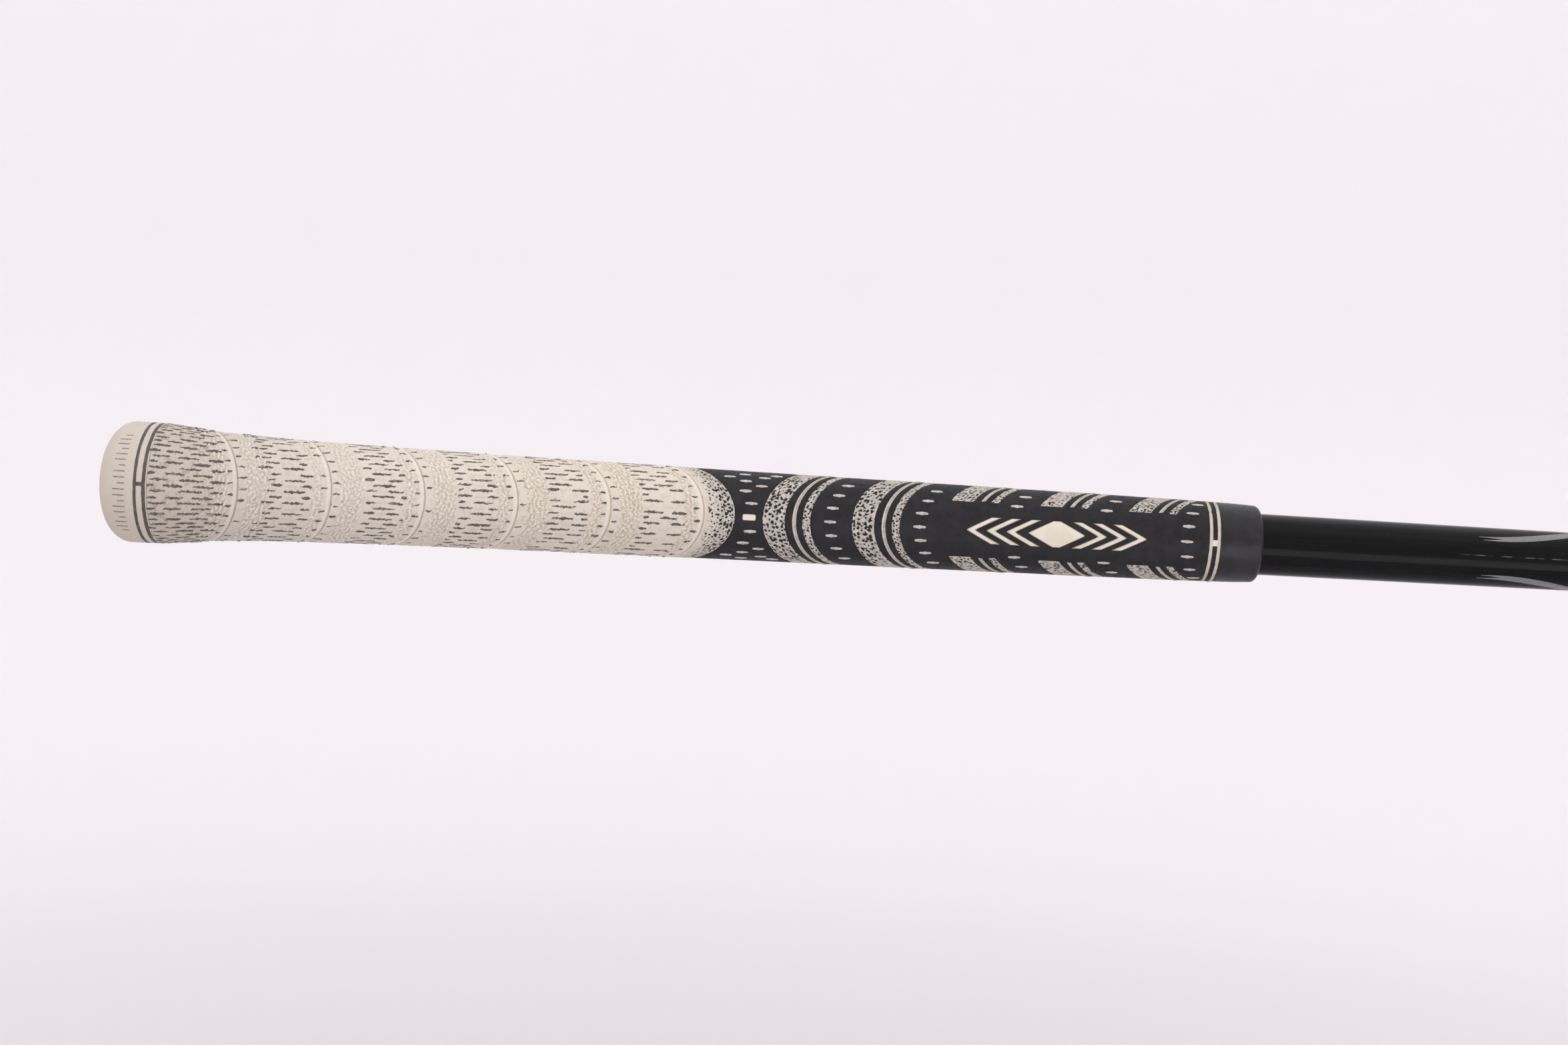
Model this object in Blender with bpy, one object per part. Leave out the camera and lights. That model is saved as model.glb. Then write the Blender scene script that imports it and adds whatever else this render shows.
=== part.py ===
"""A corded golf grip fitted on the butt of its shaft, in metres, +Z up.

The grip's axis runs along X, from the butt cap at -X to the mouth at +X. The front of the grip,
which carries the alignment marks, faces -Y. Shapes are worked out along the axis from the butt end
of the grip. Two empties, one for the grip and one for the shaft, then place them so that the
middle of the whole assembly is the origin.

Each sleeve is a shell: its outside is cut into cells by lines that run round it and by angles, and
a cell can stand lower than its neighbours, which makes the grooves and the pockets for inlays.
"""

import math

import bmesh
import bpy

MM = 0.001

# Driving dimensions along the axis, from the butt end of the grip.
GRIP_LENGTH = 269.0 * MM
SHAFT_BEYOND_MOUTH = 80.0 * MM
CAP_FLOOR = 6.0 * MM
CAP_END = 12.85 * MM
CAP_SPIGOT_END = 24.9 * MM
PLY_START = 25.1 * MM
TAPE_START = 8.0 * MM
TAPE_END = 262.0 * MM
SHAFT_START = 6.3 * MM
SHAFT_TAPER_START = 228.0 * MM

# Driving radii, from the bore outwards.
VENT_RADIUS = 1.2 * MM
SHAFT_BUTT_RADIUS = 7.365 * MM
SHAFT_TAPER = 0.0046
SHAFT_WALL = 1.3 * MM
TAPE_CLEARANCE = 0.04 * MM
TAPE_THICKNESS = 0.15 * MM
BORE_RADIUS = 7.65 * MM
TONGUE_RADIUS = 8.35 * MM
PLY_INNER_RADIUS = 8.45 * MM
PLY_OUTER_RADIUS = 9.1 * MM
SKIN_INNER_RADIUS = 9.2 * MM
CAP_FACE_RADIUS = 8.25 * MM
CAP_EDGE_RADIUS = 5.9 * MM
LIP_RADIUS = 1.1 * MM

# The outside of the grip: distance from the butt end and radius, where its taper changes.
OUTLINE = [
    (9.5 * MM, 14.15 * MM),
    (13.3 * MM, 14.0 * MM),
    (17.5 * MM, 13.6 * MM),
    (25.0 * MM, 12.8 * MM),
    (37.0 * MM, 12.15 * MM),
    (52.0 * MM, 11.7 * MM),
    (84.0 * MM, 11.1 * MM),
    (147.0 * MM, 10.45 * MM),
    (209.0 * MM, 9.9 * MM),
    (256.0 * MM, 9.35 * MM),
    (264.0 * MM, 9.15 * MM),
    (269.0 * MM, 8.9 * MM),
]

# Lines that wave: how far along the axis they move from the front to the sides of the grip.
UPPER_WAVE = -9.2 * MM
LOWER_WAVE = 9.2 * MM
JOINT_WAVE = -12.0 * MM
WAVE_SOFTNESS = 0.12

# Moulded ribs of the upper sleeve, each with a groove on its mouth side.
FIRST_RIB = 33.25 * MM
RIB_PITCH = 21.33 * MM
RIB_COUNT = 6
RIB_WIDTH = 1.3 * MM
RIB_HEIGHT = 0.2 * MM
GROOVE_WIDTH = 0.6 * MM
GROOVE_DEPTH = 0.45 * MM

# The lap joint between the sleeves, and the crescent inlay that covers it.
SLEEVE_JOINT = 140.9 * MM
JOINT_GAP = 0.3 * MM
JOINT_INLAY_END = 147.1 * MM

# Paint inlays, the pockets they sit in, and the gap left round each.
GAP = 0.1 * MM
POCKET_DEPTH = 0.45 * MM
FIRST_SET = 153.25 * MM
SET_PITCH = 20.55 * MM
SET_COUNT = 5
WHOLE_SETS = 2
CRESCENTS = {
    "wide": (0.0 * MM, 5.4 * MM),
    "line": (6.85 * MM, 7.8 * MM),
    "narrow": (9.3 * MM, 11.2 * MM),
}
CAP_RINGS = [(10.0 * MM, 10.7 * MM), (11.8 * MM, 12.6 * MM)]
MOUTH_RINGS = [(256.1 * MM, 256.7 * MM), (257.9 * MM, 258.5 * MM)]
ALIGNMENT_MARK = (148.6 * MM, 151.9 * MM)
MARK_ANGLE = 3
MARK_HEIGHT = 0.2 * MM
MARK_GAP = 0.05 * MM

# The raised emblem in the front window: a lozenge between rows of chevrons.
EMBLEM_CENTRE = 221.0 * MM
EMBLEM_HEIGHT = 0.35 * MM
EMBLEM_ANGLE = 18
EMBLEM_STEP = 3
EMBLEM_POINT = 6.0 * MM
LOZENGE_TIP = 0.8 * MM
CHEVRON_COUNT = 3
CHEVRON_WIDTH = 2.2 * MM
CHEVRON_PITCH = 4.6 * MM
CHEVRON_START = 3.6 * MM

# Facets round the grip, in degrees. The columns nearest the front window move onto its edges.
COLUMN_STEP = 15
WINDOW_ANGLE = 40
TAPE_SEAM_ANGLE = 6
CAP_EDGE_STEPS = 6
LIP_STEPS = 3
SHARP_ANGLE = 30

CREAM_RUBBER = (0.66, 0.61, 0.53)
CREAM_PAINT = (0.74, 0.68, 0.56)
GREY_PAINT = (0.07, 0.065, 0.07)
BLACK_RUBBER = (0.017, 0.017, 0.021)
BLACK_CORD = (0.035, 0.032, 0.032)
SHAFT_BLACK = (0.008, 0.008, 0.009)
TAPE_TAN = (0.62, 0.5, 0.3)


def clear_scene():
    for thing in list(bpy.data.objects):
        bpy.data.objects.remove(thing)


def material(name, colour, roughness):
    made = bpy.data.materials.new(name)
    made.use_nodes = True
    surface = made.node_tree.nodes["Principled BSDF"]
    surface.inputs["Base Color"].default_value = (*colour, 1.0)
    surface.inputs["Roughness"].default_value = roughness
    return made


# Radii, as functions of the distance x from the butt end.


def outline_radius(x):
    """The grip's taper at x, with each stretch of OUTLINE eased into the next."""
    if x <= OUTLINE[0][0]:
        return OUTLINE[0][1]
    slopes = [(b[1] - a[1]) / (b[0] - a[0]) for a, b in zip(OUTLINE, OUTLINE[1:])]
    ends = [0.0] + [(a + b) / 2 for a, b in zip(slopes, slopes[1:])] + [slopes[-1]]
    part = next((k for k, point in enumerate(OUTLINE[1:]) if x <= point[0]), len(slopes) - 1)
    (start, first), (stop, last) = OUTLINE[part], OUTLINE[part + 1]
    span = stop - start
    t = min((x - start) / span, 1.0)
    ease = 3 * t**2 - 2 * t**3
    leave = (t**3 - 2 * t**2 + t) * span * ends[part]
    arrive = (t**3 - t**2) * span * ends[part + 1]
    return first + (last - first) * ease + leave + arrive


def skin(x):
    """The grip's outside, with the cap's rounded edge at the butt and a rounded lip at the mouth."""
    if x < CAP_EDGE_RADIUS:
        return CAP_FACE_RADIUS + math.sqrt(CAP_EDGE_RADIUS**2 - (CAP_EDGE_RADIUS - x) ** 2)
    inset = max(x - (GRIP_LENGTH - LIP_RADIUS), 0.0)
    return outline_radius(x) - LIP_RADIUS + math.sqrt(max(LIP_RADIUS**2 - inset**2, 0.0))


def above_skin(height):
    return lambda x: skin(x) + height


def constant(radius):
    return lambda x: radius


def shaft_outside(x):
    return SHAFT_BUTT_RADIUS - SHAFT_TAPER * max(x - SHAFT_TAPER_START, 0.0)


def shaft_inside(x):
    return shaft_outside(x) - SHAFT_WALL


def tape_inside(x):
    return shaft_outside(x) + TAPE_CLEARANCE


def tape_outside(x):
    return tape_inside(x) + TAPE_THICKNESS


VENT = constant(VENT_RADIUS)
BORE = constant(BORE_RADIUS)
TONGUE = constant(TONGUE_RADIUS)
PLY_INSIDE = constant(PLY_INNER_RADIUS)
PLY_OUTSIDE = constant(PLY_OUTER_RADIUS)
SKIN_INSIDE = constant(SKIN_INNER_RADIUS)
RIB = above_skin(RIB_HEIGHT)
GROOVE = above_skin(-GROOVE_DEPTH)
POCKET = above_skin(-POCKET_DEPTH)
INLAY_BACK = above_skin(GAP - POCKET_DEPTH)
MARK_BACK = above_skin(MARK_GAP)
MARK_TOP = above_skin(MARK_HEIGHT)
EMBLEM_TOP = above_skin(EMBLEM_HEIGHT)


# Lines round the grip, as functions of the angle from its front, in degrees.


def line(x, wave=0.0):
    """The line at x on the front and the back of the grip, which moves along by wave towards its sides."""
    furthest = math.hypot(1.0, WAVE_SOFTNESS)

    def at(angle):
        return x + wave * (furthest - math.hypot(math.cos(math.radians(angle)), WAVE_SOFTNESS))

    return at


def emblem_line(side, offset):
    """A line that comes to a point at the front, on one side of the emblem's centre."""

    def at(angle):
        return EMBLEM_CENTRE + side * (offset + EMBLEM_POINT * (1 - abs(angle) / EMBLEM_ANGLE))

    return at


def round_angles():
    """Angles right round the grip: even columns, the window's edges, and a mark's edges front and back."""
    side = [MARK_ANGLE]
    for angle in range(COLUMN_STEP, 180, COLUMN_STEP):
        near_window = abs(angle - WINDOW_ANGLE) < COLUMN_STEP / 2
        side.append(WINDOW_ANGLE if near_window else angle)
    side.append(180 - MARK_ANGLE)
    return side + [360 - angle for angle in reversed(side)]


ROUND = round_angles()
EMBLEM_ANGLES = list(range(-EMBLEM_ANGLE, EMBLEM_ANGLE + 1, EMBLEM_STEP))


def in_window(j):
    return ROUND[j] < WINDOW_ANGLE or ROUND[j] >= 360 - WINDOW_ANGLE


def in_mark(j):
    return ROUND[j] == 360 - MARK_ANGLE


# Building one solid.


def shell(name, lines, level, inner, angles=ROUND, closed=True):
    """One solid. Its outside is the cells between lines and angles: level(i, j) is the radius function of
    the cell after line i and angle j. inner lists the (line, radius function) points of its inside.
    A shell that isn't closed stops at its first and last angles.
    """
    shape = bmesh.new()
    made = {}
    spans = list(enumerate(zip(lines, lines[1:])))
    count = len(angles) if closed else len(angles) - 1

    def corner(point, j):
        key = (point, j % len(angles))
        if key not in made:
            at, radius = point
            x = at(angles[key[1]])
            turn = math.radians(angles[key[1]])
            made[key] = shape.verts.new((x, -radius(x) * math.cos(turn), radius(x) * math.sin(turn)))
        return made[key]

    def outside(j):
        points = [(at, level(i, j)) for i, span in spans for at in span]
        return list(dict.fromkeys(points))

    for j in range(count):
        path = outside(j) + inner[::-1]
        for here, after in zip(path, path[1:] + path[:1]):
            shape.faces.new((corner(here, j), corner(here, j + 1), corner(after, j + 1), corner(after, j)))
    for j in range(0 if closed else 1, count):
        for i, (near, far) in spans:
            before, here = level(i, (j - 1) % count), level(i, j)
            if before != here:
                rim = [(near, before), (far, before), (far, here), (near, here)]
                shape.faces.new([corner(point, j) for point in rim])
    if not closed:
        for cell, j in ((0, 0), (count - 1, count)):
            shape.faces.new([corner(point, j) for point in outside(cell) + inner[::-1]])
    bmesh.ops.recalc_face_normals(shape, faces=shape.faces)
    mesh = bpy.data.meshes.new(name)
    shape.to_mesh(mesh)
    shape.free()
    return mesh


def band(name, start, stop, top, back, angles=ROUND, closed=True):
    """A thin piece that lies in or on the skin between two lines."""
    return shell(name, [start, stop], lambda i, j: top, [(start, back), (stop, back)], angles, closed)


# The sub-parts.


def shaft_butt():
    lines = [line(SHAFT_START), line(SHAFT_TAPER_START), line(GRIP_LENGTH + SHAFT_BEYOND_MOUTH)]
    inner = [(at, shaft_inside) for at in lines]
    return shell("shaft_butt", lines, lambda i, j: shaft_outside, inner)


def grip_tape():
    """The tape that holds the grip, wrapped once round the shaft with its lengthwise seam at the back."""
    lines = [line(TAPE_START), line(SHAFT_TAPER_START), line(TAPE_END)]
    inner = [(at, tape_inside) for at in lines]
    last = 180 - TAPE_SEAM_ANGLE / 2
    signed = [angle - 360 if angle > 180 else angle for angle in ROUND]
    angles = [-last] + sorted(angle for angle in signed if abs(angle) < last) + [last]
    return shell("grip_tape", lines, lambda i, j: tape_outside, inner, angles, closed=False)


def butt_cap():
    """The moulded cap: closed end with its vent, ring pockets, and the spigot the sleeve fits round."""
    turns = [math.pi / 2 * k / CAP_EDGE_STEPS for k in range(CAP_EDGE_STEPS + 1)]
    stops = [CAP_EDGE_RADIUS * (1 - math.cos(turn)) for turn in turns] + [OUTLINE[0][0]]
    pockets = [len(stops) + 2 * k for k in range(len(CAP_RINGS))]
    stops += [x for ring in CAP_RINGS for x in ring] + [CAP_END, CAP_SPIGOT_END]
    lines = [line(x) for x in stops]
    spigot = len(lines) - 2

    def level(i, j):
        if i == spigot:
            return PLY_OUTSIDE
        return POCKET if i in pockets else skin

    floor = line(CAP_FLOOR)
    inner = [(lines[0], VENT), (floor, VENT), (floor, BORE), (lines[-1], BORE)]
    return shell("butt_cap", lines, level, inner)


def upper_sleeve():
    """The cream sleeve, over the cap's spigot and the cord ply: plain stretches, each with a rib and a groove."""
    lines = [line(CAP_END + GAP)]
    for number in range(RIB_COUNT):
        groove_start = FIRST_RIB + RIB_PITCH * number - GROOVE_WIDTH / 2
        for x in (groove_start - RIB_WIDTH, groove_start, groove_start + GROOVE_WIDTH):
            lines.append(line(x, UPPER_WAVE))
    lines.append(line(SLEEVE_JOINT, UPPER_WAVE))
    levels = [skin, RIB, GROOVE]
    inner = [(lines[0], SKIN_INSIDE), (lines[-1], SKIN_INSIDE)]
    return shell("upper_sleeve", lines, lambda i, j: levels[i % 3], inner)


def cord_ply():
    """The cord sheet under the cream sleeve, whose tufts show through it."""
    return band("cord_ply", line(PLY_START), line(SLEEVE_JOINT, UPPER_WAVE), PLY_OUTSIDE, PLY_INSIDE)


def crescents():
    """Each crescent inlay as (name, x at its start, x at its end, whole), from the joint to the mouth."""
    made = []
    for number in range(SET_COUNT):
        base = FIRST_SET + SET_PITCH * number
        for kind, (start, stop) in CRESCENTS.items():
            made.append((f"crescent_{kind}_{number + 1}", base + start, base + stop, number < WHOLE_SETS))
    return made


def lower_sleeve():
    """The black sleeve: a tongue under the ply, then full thickness with a pocket for each inlay."""
    lines = [line(PLY_START), line(SLEEVE_JOINT + JOINT_GAP, UPPER_WAVE), line(JOINT_INLAY_END, JOINT_WAVE)]
    lines += [line(x) for x in ALIGNMENT_MARK]
    tongue, joint_pocket, mark_pocket = 0, 1, 3
    whole_pockets, back_pockets = [joint_pocket], []
    for name, start, stop, whole in crescents():
        (whole_pockets if whole else back_pockets).append(len(lines))
        lines += [line(start, LOWER_WAVE), line(stop, LOWER_WAVE)]
    for start, stop in MOUTH_RINGS:
        whole_pockets.append(len(lines))
        lines += [line(start), line(stop)]
    turns = [math.pi / 2 * k / LIP_STEPS for k in range(LIP_STEPS + 1)]
    lines += [line(GRIP_LENGTH - LIP_RADIUS * (1 - math.sin(turn))) for turn in turns]

    def level(i, j):
        if i == tongue:
            return TONGUE
        if i in whole_pockets or i == mark_pocket and in_mark(j) or i in back_pockets and not in_window(j):
            return POCKET
        return skin

    return shell("lower_sleeve", lines, level, [(lines[0], BORE), (lines[-1], BORE)])


def crescent(name, start, stop, whole):
    """A crescent inlay in its pocket. One that the front window interrupts runs round the back only."""
    edges = line(start + GAP, LOWER_WAVE), line(stop - GAP, LOWER_WAVE)
    if whole:
        return band(name, *edges, skin, INLAY_BACK)
    first = WINDOW_ANGLE + math.degrees(GAP / skin(start))
    angles = [first] + [angle for angle in ROUND if first < angle < 360 - first] + [360 - first]
    return band(name, *edges, skin, INLAY_BACK, angles, closed=False)


def joint_crescent():
    """The inlay that covers the lap joint. It narrows towards the sides."""
    start, stop = line(SLEEVE_JOINT + JOINT_GAP, UPPER_WAVE), line(JOINT_INLAY_END - GAP, JOINT_WAVE)
    return band("joint_crescent", start, stop, skin, INLAY_BACK)


def alignment_mark():
    start, stop = ALIGNMENT_MARK
    half = MARK_ANGLE - math.degrees(GAP / skin(start))
    return band("alignment_mark", line(start + GAP), line(stop - GAP), skin, INLAY_BACK, [-half, half], False)


def ring(name, start, stop):
    return band(name, line(start + GAP), line(stop - GAP), skin, INLAY_BACK)


def ring_link(name, rings):
    """The raised mark between a pair of rings, at the front."""
    (_, start), (stop, _) = rings
    edges = line(start + MARK_GAP), line(stop - MARK_GAP)
    return band(name, *edges, MARK_TOP, MARK_BACK, [-MARK_ANGLE, 0, MARK_ANGLE], closed=False)


def emblem_piece(name, first, second):
    """A raised piece of the emblem between two of its pointed lines."""
    return band(name, first, second, EMBLEM_TOP, MARK_BACK, EMBLEM_ANGLES, closed=False)


def emblem():
    """The lozenge, and the chevrons on each side of it that follow its edges; yields meshes."""
    yield emblem_piece("emblem_lozenge", emblem_line(-1, LOZENGE_TIP), emblem_line(1, LOZENGE_TIP))
    for side, end in ((-1, "cap"), (1, "mouth")):
        for number in range(CHEVRON_COUNT):
            offset = CHEVRON_START + CHEVRON_PITCH * number
            edges = emblem_line(side, offset), emblem_line(side, offset + CHEVRON_WIDTH)
            yield emblem_piece(f"emblem_chevron_{end}_{number + 1}", *edges)


# Placing the sub-parts.


def add_frame(name):
    """An empty at the butt end of the grip, which puts the middle of the assembly at the origin."""
    made = bpy.data.objects.new(name, None)
    made.location = (-(GRIP_LENGTH + SHAFT_BEYOND_MOUTH) / 2, 0.0, 0.0)
    bpy.context.scene.collection.objects.link(made)
    return made


def add_piece(mesh, finish, parent):
    mesh.materials.append(finish)
    mesh.shade_smooth()
    mesh.set_sharp_from_angle(angle=math.radians(SHARP_ANGLE))
    piece = bpy.data.objects.new(mesh.name, mesh)
    bpy.context.scene.collection.objects.link(piece)
    piece.parent = parent


def add_shaft():
    frame = add_frame("shaft_frame")
    add_piece(shaft_butt(), material("shaft_black", SHAFT_BLACK, 0.12), frame)
    add_piece(grip_tape(), material("tape_tan", TAPE_TAN, 0.85), frame)


def add_grip():
    frame = add_frame("grip_frame")
    cream = material("cream_rubber", CREAM_RUBBER, 0.7)
    paint = material("cream_paint", CREAM_PAINT, 0.6)
    grey = material("grey_paint", GREY_PAINT, 0.6)
    add_piece(butt_cap(), cream, frame)
    add_piece(upper_sleeve(), cream, frame)
    add_piece(cord_ply(), material("black_cord", BLACK_CORD, 0.95), frame)
    add_piece(lower_sleeve(), material("black_rubber", BLACK_RUBBER, 0.62), frame)
    add_piece(joint_crescent(), paint, frame)
    add_piece(alignment_mark(), paint, frame)
    for inlay in crescents():
        add_piece(crescent(*inlay), paint, frame)
    for end, rings, finish in (("cap", CAP_RINGS, grey), ("mouth", MOUTH_RINGS, paint)):
        for number, (start, stop) in enumerate(rings, 1):
            add_piece(ring(f"{end}_ring_{number}", start, stop), finish, frame)
        add_piece(ring_link(f"{end}_ring_link", rings), finish, frame)
    for mesh in emblem():
        add_piece(mesh, paint, frame)


clear_scene()
add_shaft()
add_grip()
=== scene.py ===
# The looks of a corded golf grip on its shaft. The grip's surface is worked out on grids that run
# along and round it: s is the distance from the butt end along the front line, in millimetres, and
# angle is measured round the axis from the front, in radians. The moulded pattern waves: a line of
# constant s moves along the axis as it goes round. Heights are millimetres above the smooth skin.

import math

import bpy
import numpy as np
from mathutils import Matrix, Vector


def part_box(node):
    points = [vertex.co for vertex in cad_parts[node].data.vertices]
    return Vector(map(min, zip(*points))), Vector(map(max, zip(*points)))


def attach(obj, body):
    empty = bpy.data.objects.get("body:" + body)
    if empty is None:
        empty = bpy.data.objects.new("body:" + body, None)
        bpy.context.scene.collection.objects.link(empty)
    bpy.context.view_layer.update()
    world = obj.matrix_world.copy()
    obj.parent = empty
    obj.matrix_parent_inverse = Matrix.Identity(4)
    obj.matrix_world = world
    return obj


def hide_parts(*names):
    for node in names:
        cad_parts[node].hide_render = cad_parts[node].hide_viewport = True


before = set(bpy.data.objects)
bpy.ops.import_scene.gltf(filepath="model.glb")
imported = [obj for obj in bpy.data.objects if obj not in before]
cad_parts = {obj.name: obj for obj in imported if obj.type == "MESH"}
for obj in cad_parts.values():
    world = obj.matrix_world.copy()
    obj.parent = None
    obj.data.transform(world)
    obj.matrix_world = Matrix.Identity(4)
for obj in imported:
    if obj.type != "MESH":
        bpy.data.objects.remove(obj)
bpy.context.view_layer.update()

MM = 0.001
FULL_TURN = 2 * math.pi


# Places along the axis, in millimetres from the butt end, read from the frame.

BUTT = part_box("butt_cap")[0].x


def start_of(node):
    return (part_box(node)[0].x - BUTT) / MM


def end_of(node):
    return (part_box(node)[1].x - BUTT) / MM


GRIP_END = end_of("lower_sleeve")
CAP_END = start_of("upper_sleeve")
SPIGOT_END = end_of("butt_cap")
SLEEVE_JOINT = end_of("upper_sleeve")
SHAFT_START, SHAFT_END = start_of("shaft_butt"), end_of("shaft_butt")
TAPE_START, TAPE_END = start_of("grip_tape"), end_of("grip_tape")
CAP_RINGS = [(start_of(node), end_of(node)) for node in ("cap_ring_1", "cap_ring_2")]
MOUTH_RINGS = [(start_of(node), end_of(node)) for node in ("mouth_ring_1", "mouth_ring_2")]
ALIGNMENT_MARK = (start_of("alignment_mark"), end_of("alignment_mark"))
SETS = [start_of(f"crescent_wide_{number}") for number in range(1, 6)]
SHAFT_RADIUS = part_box("shaft_butt")[1].z / MM
TAPE_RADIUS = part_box("grip_tape")[1].z / MM

# The outside of the grip: distance from the butt end and radius, where its taper changes.
OUTLINE = [(9.5, 14.15), (13.3, 14.0), (17.5, 13.6), (25.0, 12.8), (37.0, 12.15), (52.0, 11.7)]
OUTLINE += [(84.0, 11.1), (147.0, 10.45), (209.0, 9.9), (256.0, 9.35), (264.0, 9.15), (269.0, 8.9)]
CAP_FACE_RADIUS = 5.6
CAP_EDGE_LENGTH = 6.0
CAP_WALL = 6.0
VENT_RADIUS = 1.2
LIP_RADIUS = 1.1
BORE_RADIUS = 7.65
LIP_BORE_RADIUS = 7.28
SPIGOT_RADIUS = 9.1
TONGUE_START = 25.1
TONGUE_RADIUS = 8.35
SHAFT_TAPER_START = 228.0
SHAFT_TAPER = 0.0046
SHAFT_WALL = 1.3
STRIPE_START = 319.5
SHAFT_STRIPE_START = BUTT + STRIPE_START * MM

# The waves of the moulded pattern.
UPPER_WAVE = -9.2
LOWER_WAVE = 9.2
JOINT_WAVE = -12.0
WAVE_SOFTNESS = 0.12
FIRST_RIB = 33.25
RIB_PITCH = 21.33
RIB_COUNT = 6
RIBS = [FIRST_RIB + RIB_PITCH * number for number in range(RIB_COUNT)]
JOINT_INLAY_END = 147.1
WIDE_BAND = 5.3
LINE_BAND = (6.85, 7.8)
NARROW_BAND = (9.15, 11.15)
WINDOW = math.radians(40)
# Radii of the skin that turn an angle into an arc: at the bands and at the cream sleeve's middle.
BAND_RADIUS = 9.8
SLEEVE_ROUND = FULL_TURN * 11.2

# Grids.
COLUMNS = 520
FINE_STEP = 0.13
PLAIN_STEP = 0.3


def eased_outline():
    """The outline as a dense table, with each stretch eased into the next."""
    points = np.array(OUTLINE)
    slopes = np.diff(points[:, 1]) / np.diff(points[:, 0])
    ends = np.concatenate([[0.0], (slopes[1:] + slopes[:-1]) / 2, slopes[-1:]])
    places, radii = [], []
    for k in range(len(points) - 1):
        t = np.linspace(0, 1, 40, endpoint=False)
        (start, first), (stop, last) = points[k], points[k + 1]
        span = stop - start
        ease = 3 * t**2 - 2 * t**3
        bend = (t**3 - 2 * t**2 + t) * ends[k] + (t**3 - t**2) * ends[k + 1]
        places.append(start + span * t)
        radii.append(first + (last - first) * ease + span * bend)
    return np.append(np.concatenate(places), points[-1, 0]), np.append(np.concatenate(radii), points[-1, 1])


OUTLINE_X, OUTLINE_R = eased_outline()


def skin(x):
    """The radius of the smooth skin, with the cap's rounded edge and the mouth's rounded lip."""
    radius = np.interp(x, OUTLINE_X, OUTLINE_R)
    edge = np.sqrt(1 - (np.clip(CAP_EDGE_LENGTH - x, 0, CAP_EDGE_LENGTH) / CAP_EDGE_LENGTH) ** 2)
    radius = CAP_FACE_RADIUS + (radius - CAP_FACE_RADIUS) * edge
    inset = np.clip(x - (GRIP_END - LIP_RADIUS), 0, LIP_RADIUS)
    return radius - LIP_RADIUS + np.sqrt(np.clip(LIP_RADIUS**2 - inset**2, 0, None))


def sideways(angle):
    """0 at the front and the back of the grip, rising to nearly 1 at its sides."""
    return math.hypot(1.0, WAVE_SOFTNESS) - np.hypot(np.cos(angle), WAVE_SOFTNESS)


WAVE_STOPS = [
    (CAP_END, 0.0),
    (28.0, UPPER_WAVE),
    (SLEEVE_JOINT + 0.2, UPPER_WAVE),
    (JOINT_INLAY_END, JOINT_WAVE),
    (ALIGNMENT_MARK[0], -2.0),
    (ALIGNMENT_MARK[1], 3.0),
    (SETS[0] - 0.1, LOWER_WAVE),
    (SETS[-1] + 11.8, LOWER_WAVE),
    (MOUTH_RINGS[0][0], 0.0),
]


def along(s, angle):
    """The distance x along the axis of the point at s and angle."""
    stops = np.array(WAVE_STOPS)
    return s + np.interp(s, stops[:, 0], stops[:, 1]) * sideways(angle)


def smooth_step(value, low, high):
    t = np.clip((value - low) / (high - low), 0, 1)
    return t * t * (3 - 2 * t)


def plateau(value, start, stop, edge):
    """1 between start and stop, falling to 0 over edge on each side of them."""
    return smooth_step(value, start - edge, start) * (1 - smooth_step(value, stop, stop + edge))


def round_angles(columns=COLUMNS):
    return np.linspace(0, FULL_TURN, columns, endpoint=False)


def from_front(angle):
    """The angle folded into half a turn either side of the front."""
    return (angle + math.pi) % FULL_TURN - math.pi


# Fields of noise on a grid of rows along the grip and columns round it.


def noise(rows, columns, steps, wavelength, seed, spread=0.45, lean=4.0):
    """Noise whose features are about wavelength apart; steps is the grid's spacing along and round.

    A small lean keeps only the waves that run along the axis, so that the ridges run round the grip.
    """
    random = np.random.default_rng(seed)
    spectrum = np.fft.rfft2(random.standard_normal((rows, columns)))
    along_axis = np.fft.fftfreq(rows, steps[0])[:, None] * wavelength
    round_axis = np.fft.rfftfreq(columns, steps[1])[None] * wavelength
    wanted = np.exp(-(((np.hypot(along_axis, round_axis) - 1) / spread) ** 2))
    wanted *= np.exp(-((round_axis / lean) ** 2))
    field = np.fft.irfft2(spectrum * wanted, (rows, columns))
    return field / field.std()


def soft_noise(rows, columns, steps, size, seed):
    """Slow noise with features of size and larger."""
    random = np.random.default_rng(seed)
    spectrum = np.fft.rfft2(random.standard_normal((rows, columns)))
    squared = (np.fft.fftfreq(rows, steps[0])[:, None] ** 2 + np.fft.rfftfreq(columns, steps[1])[None] ** 2)
    field = np.fft.irfft2(spectrum * np.exp(-squared * size**2 * 4), (rows, columns))
    return field / field.std()


# Meshes.

FLIPPED = [0, 3, 2, 1]


def to_points(x, radius, angle):
    """Points in metres in the frame, from distances along the axis, radii and angles."""
    x, radius, angle = np.broadcast_arrays(x, radius, angle)
    return np.stack(
        [BUTT + x * MM, -radius * np.cos(angle) * MM, radius * np.sin(angle) * MM], axis=-1
    )


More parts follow.
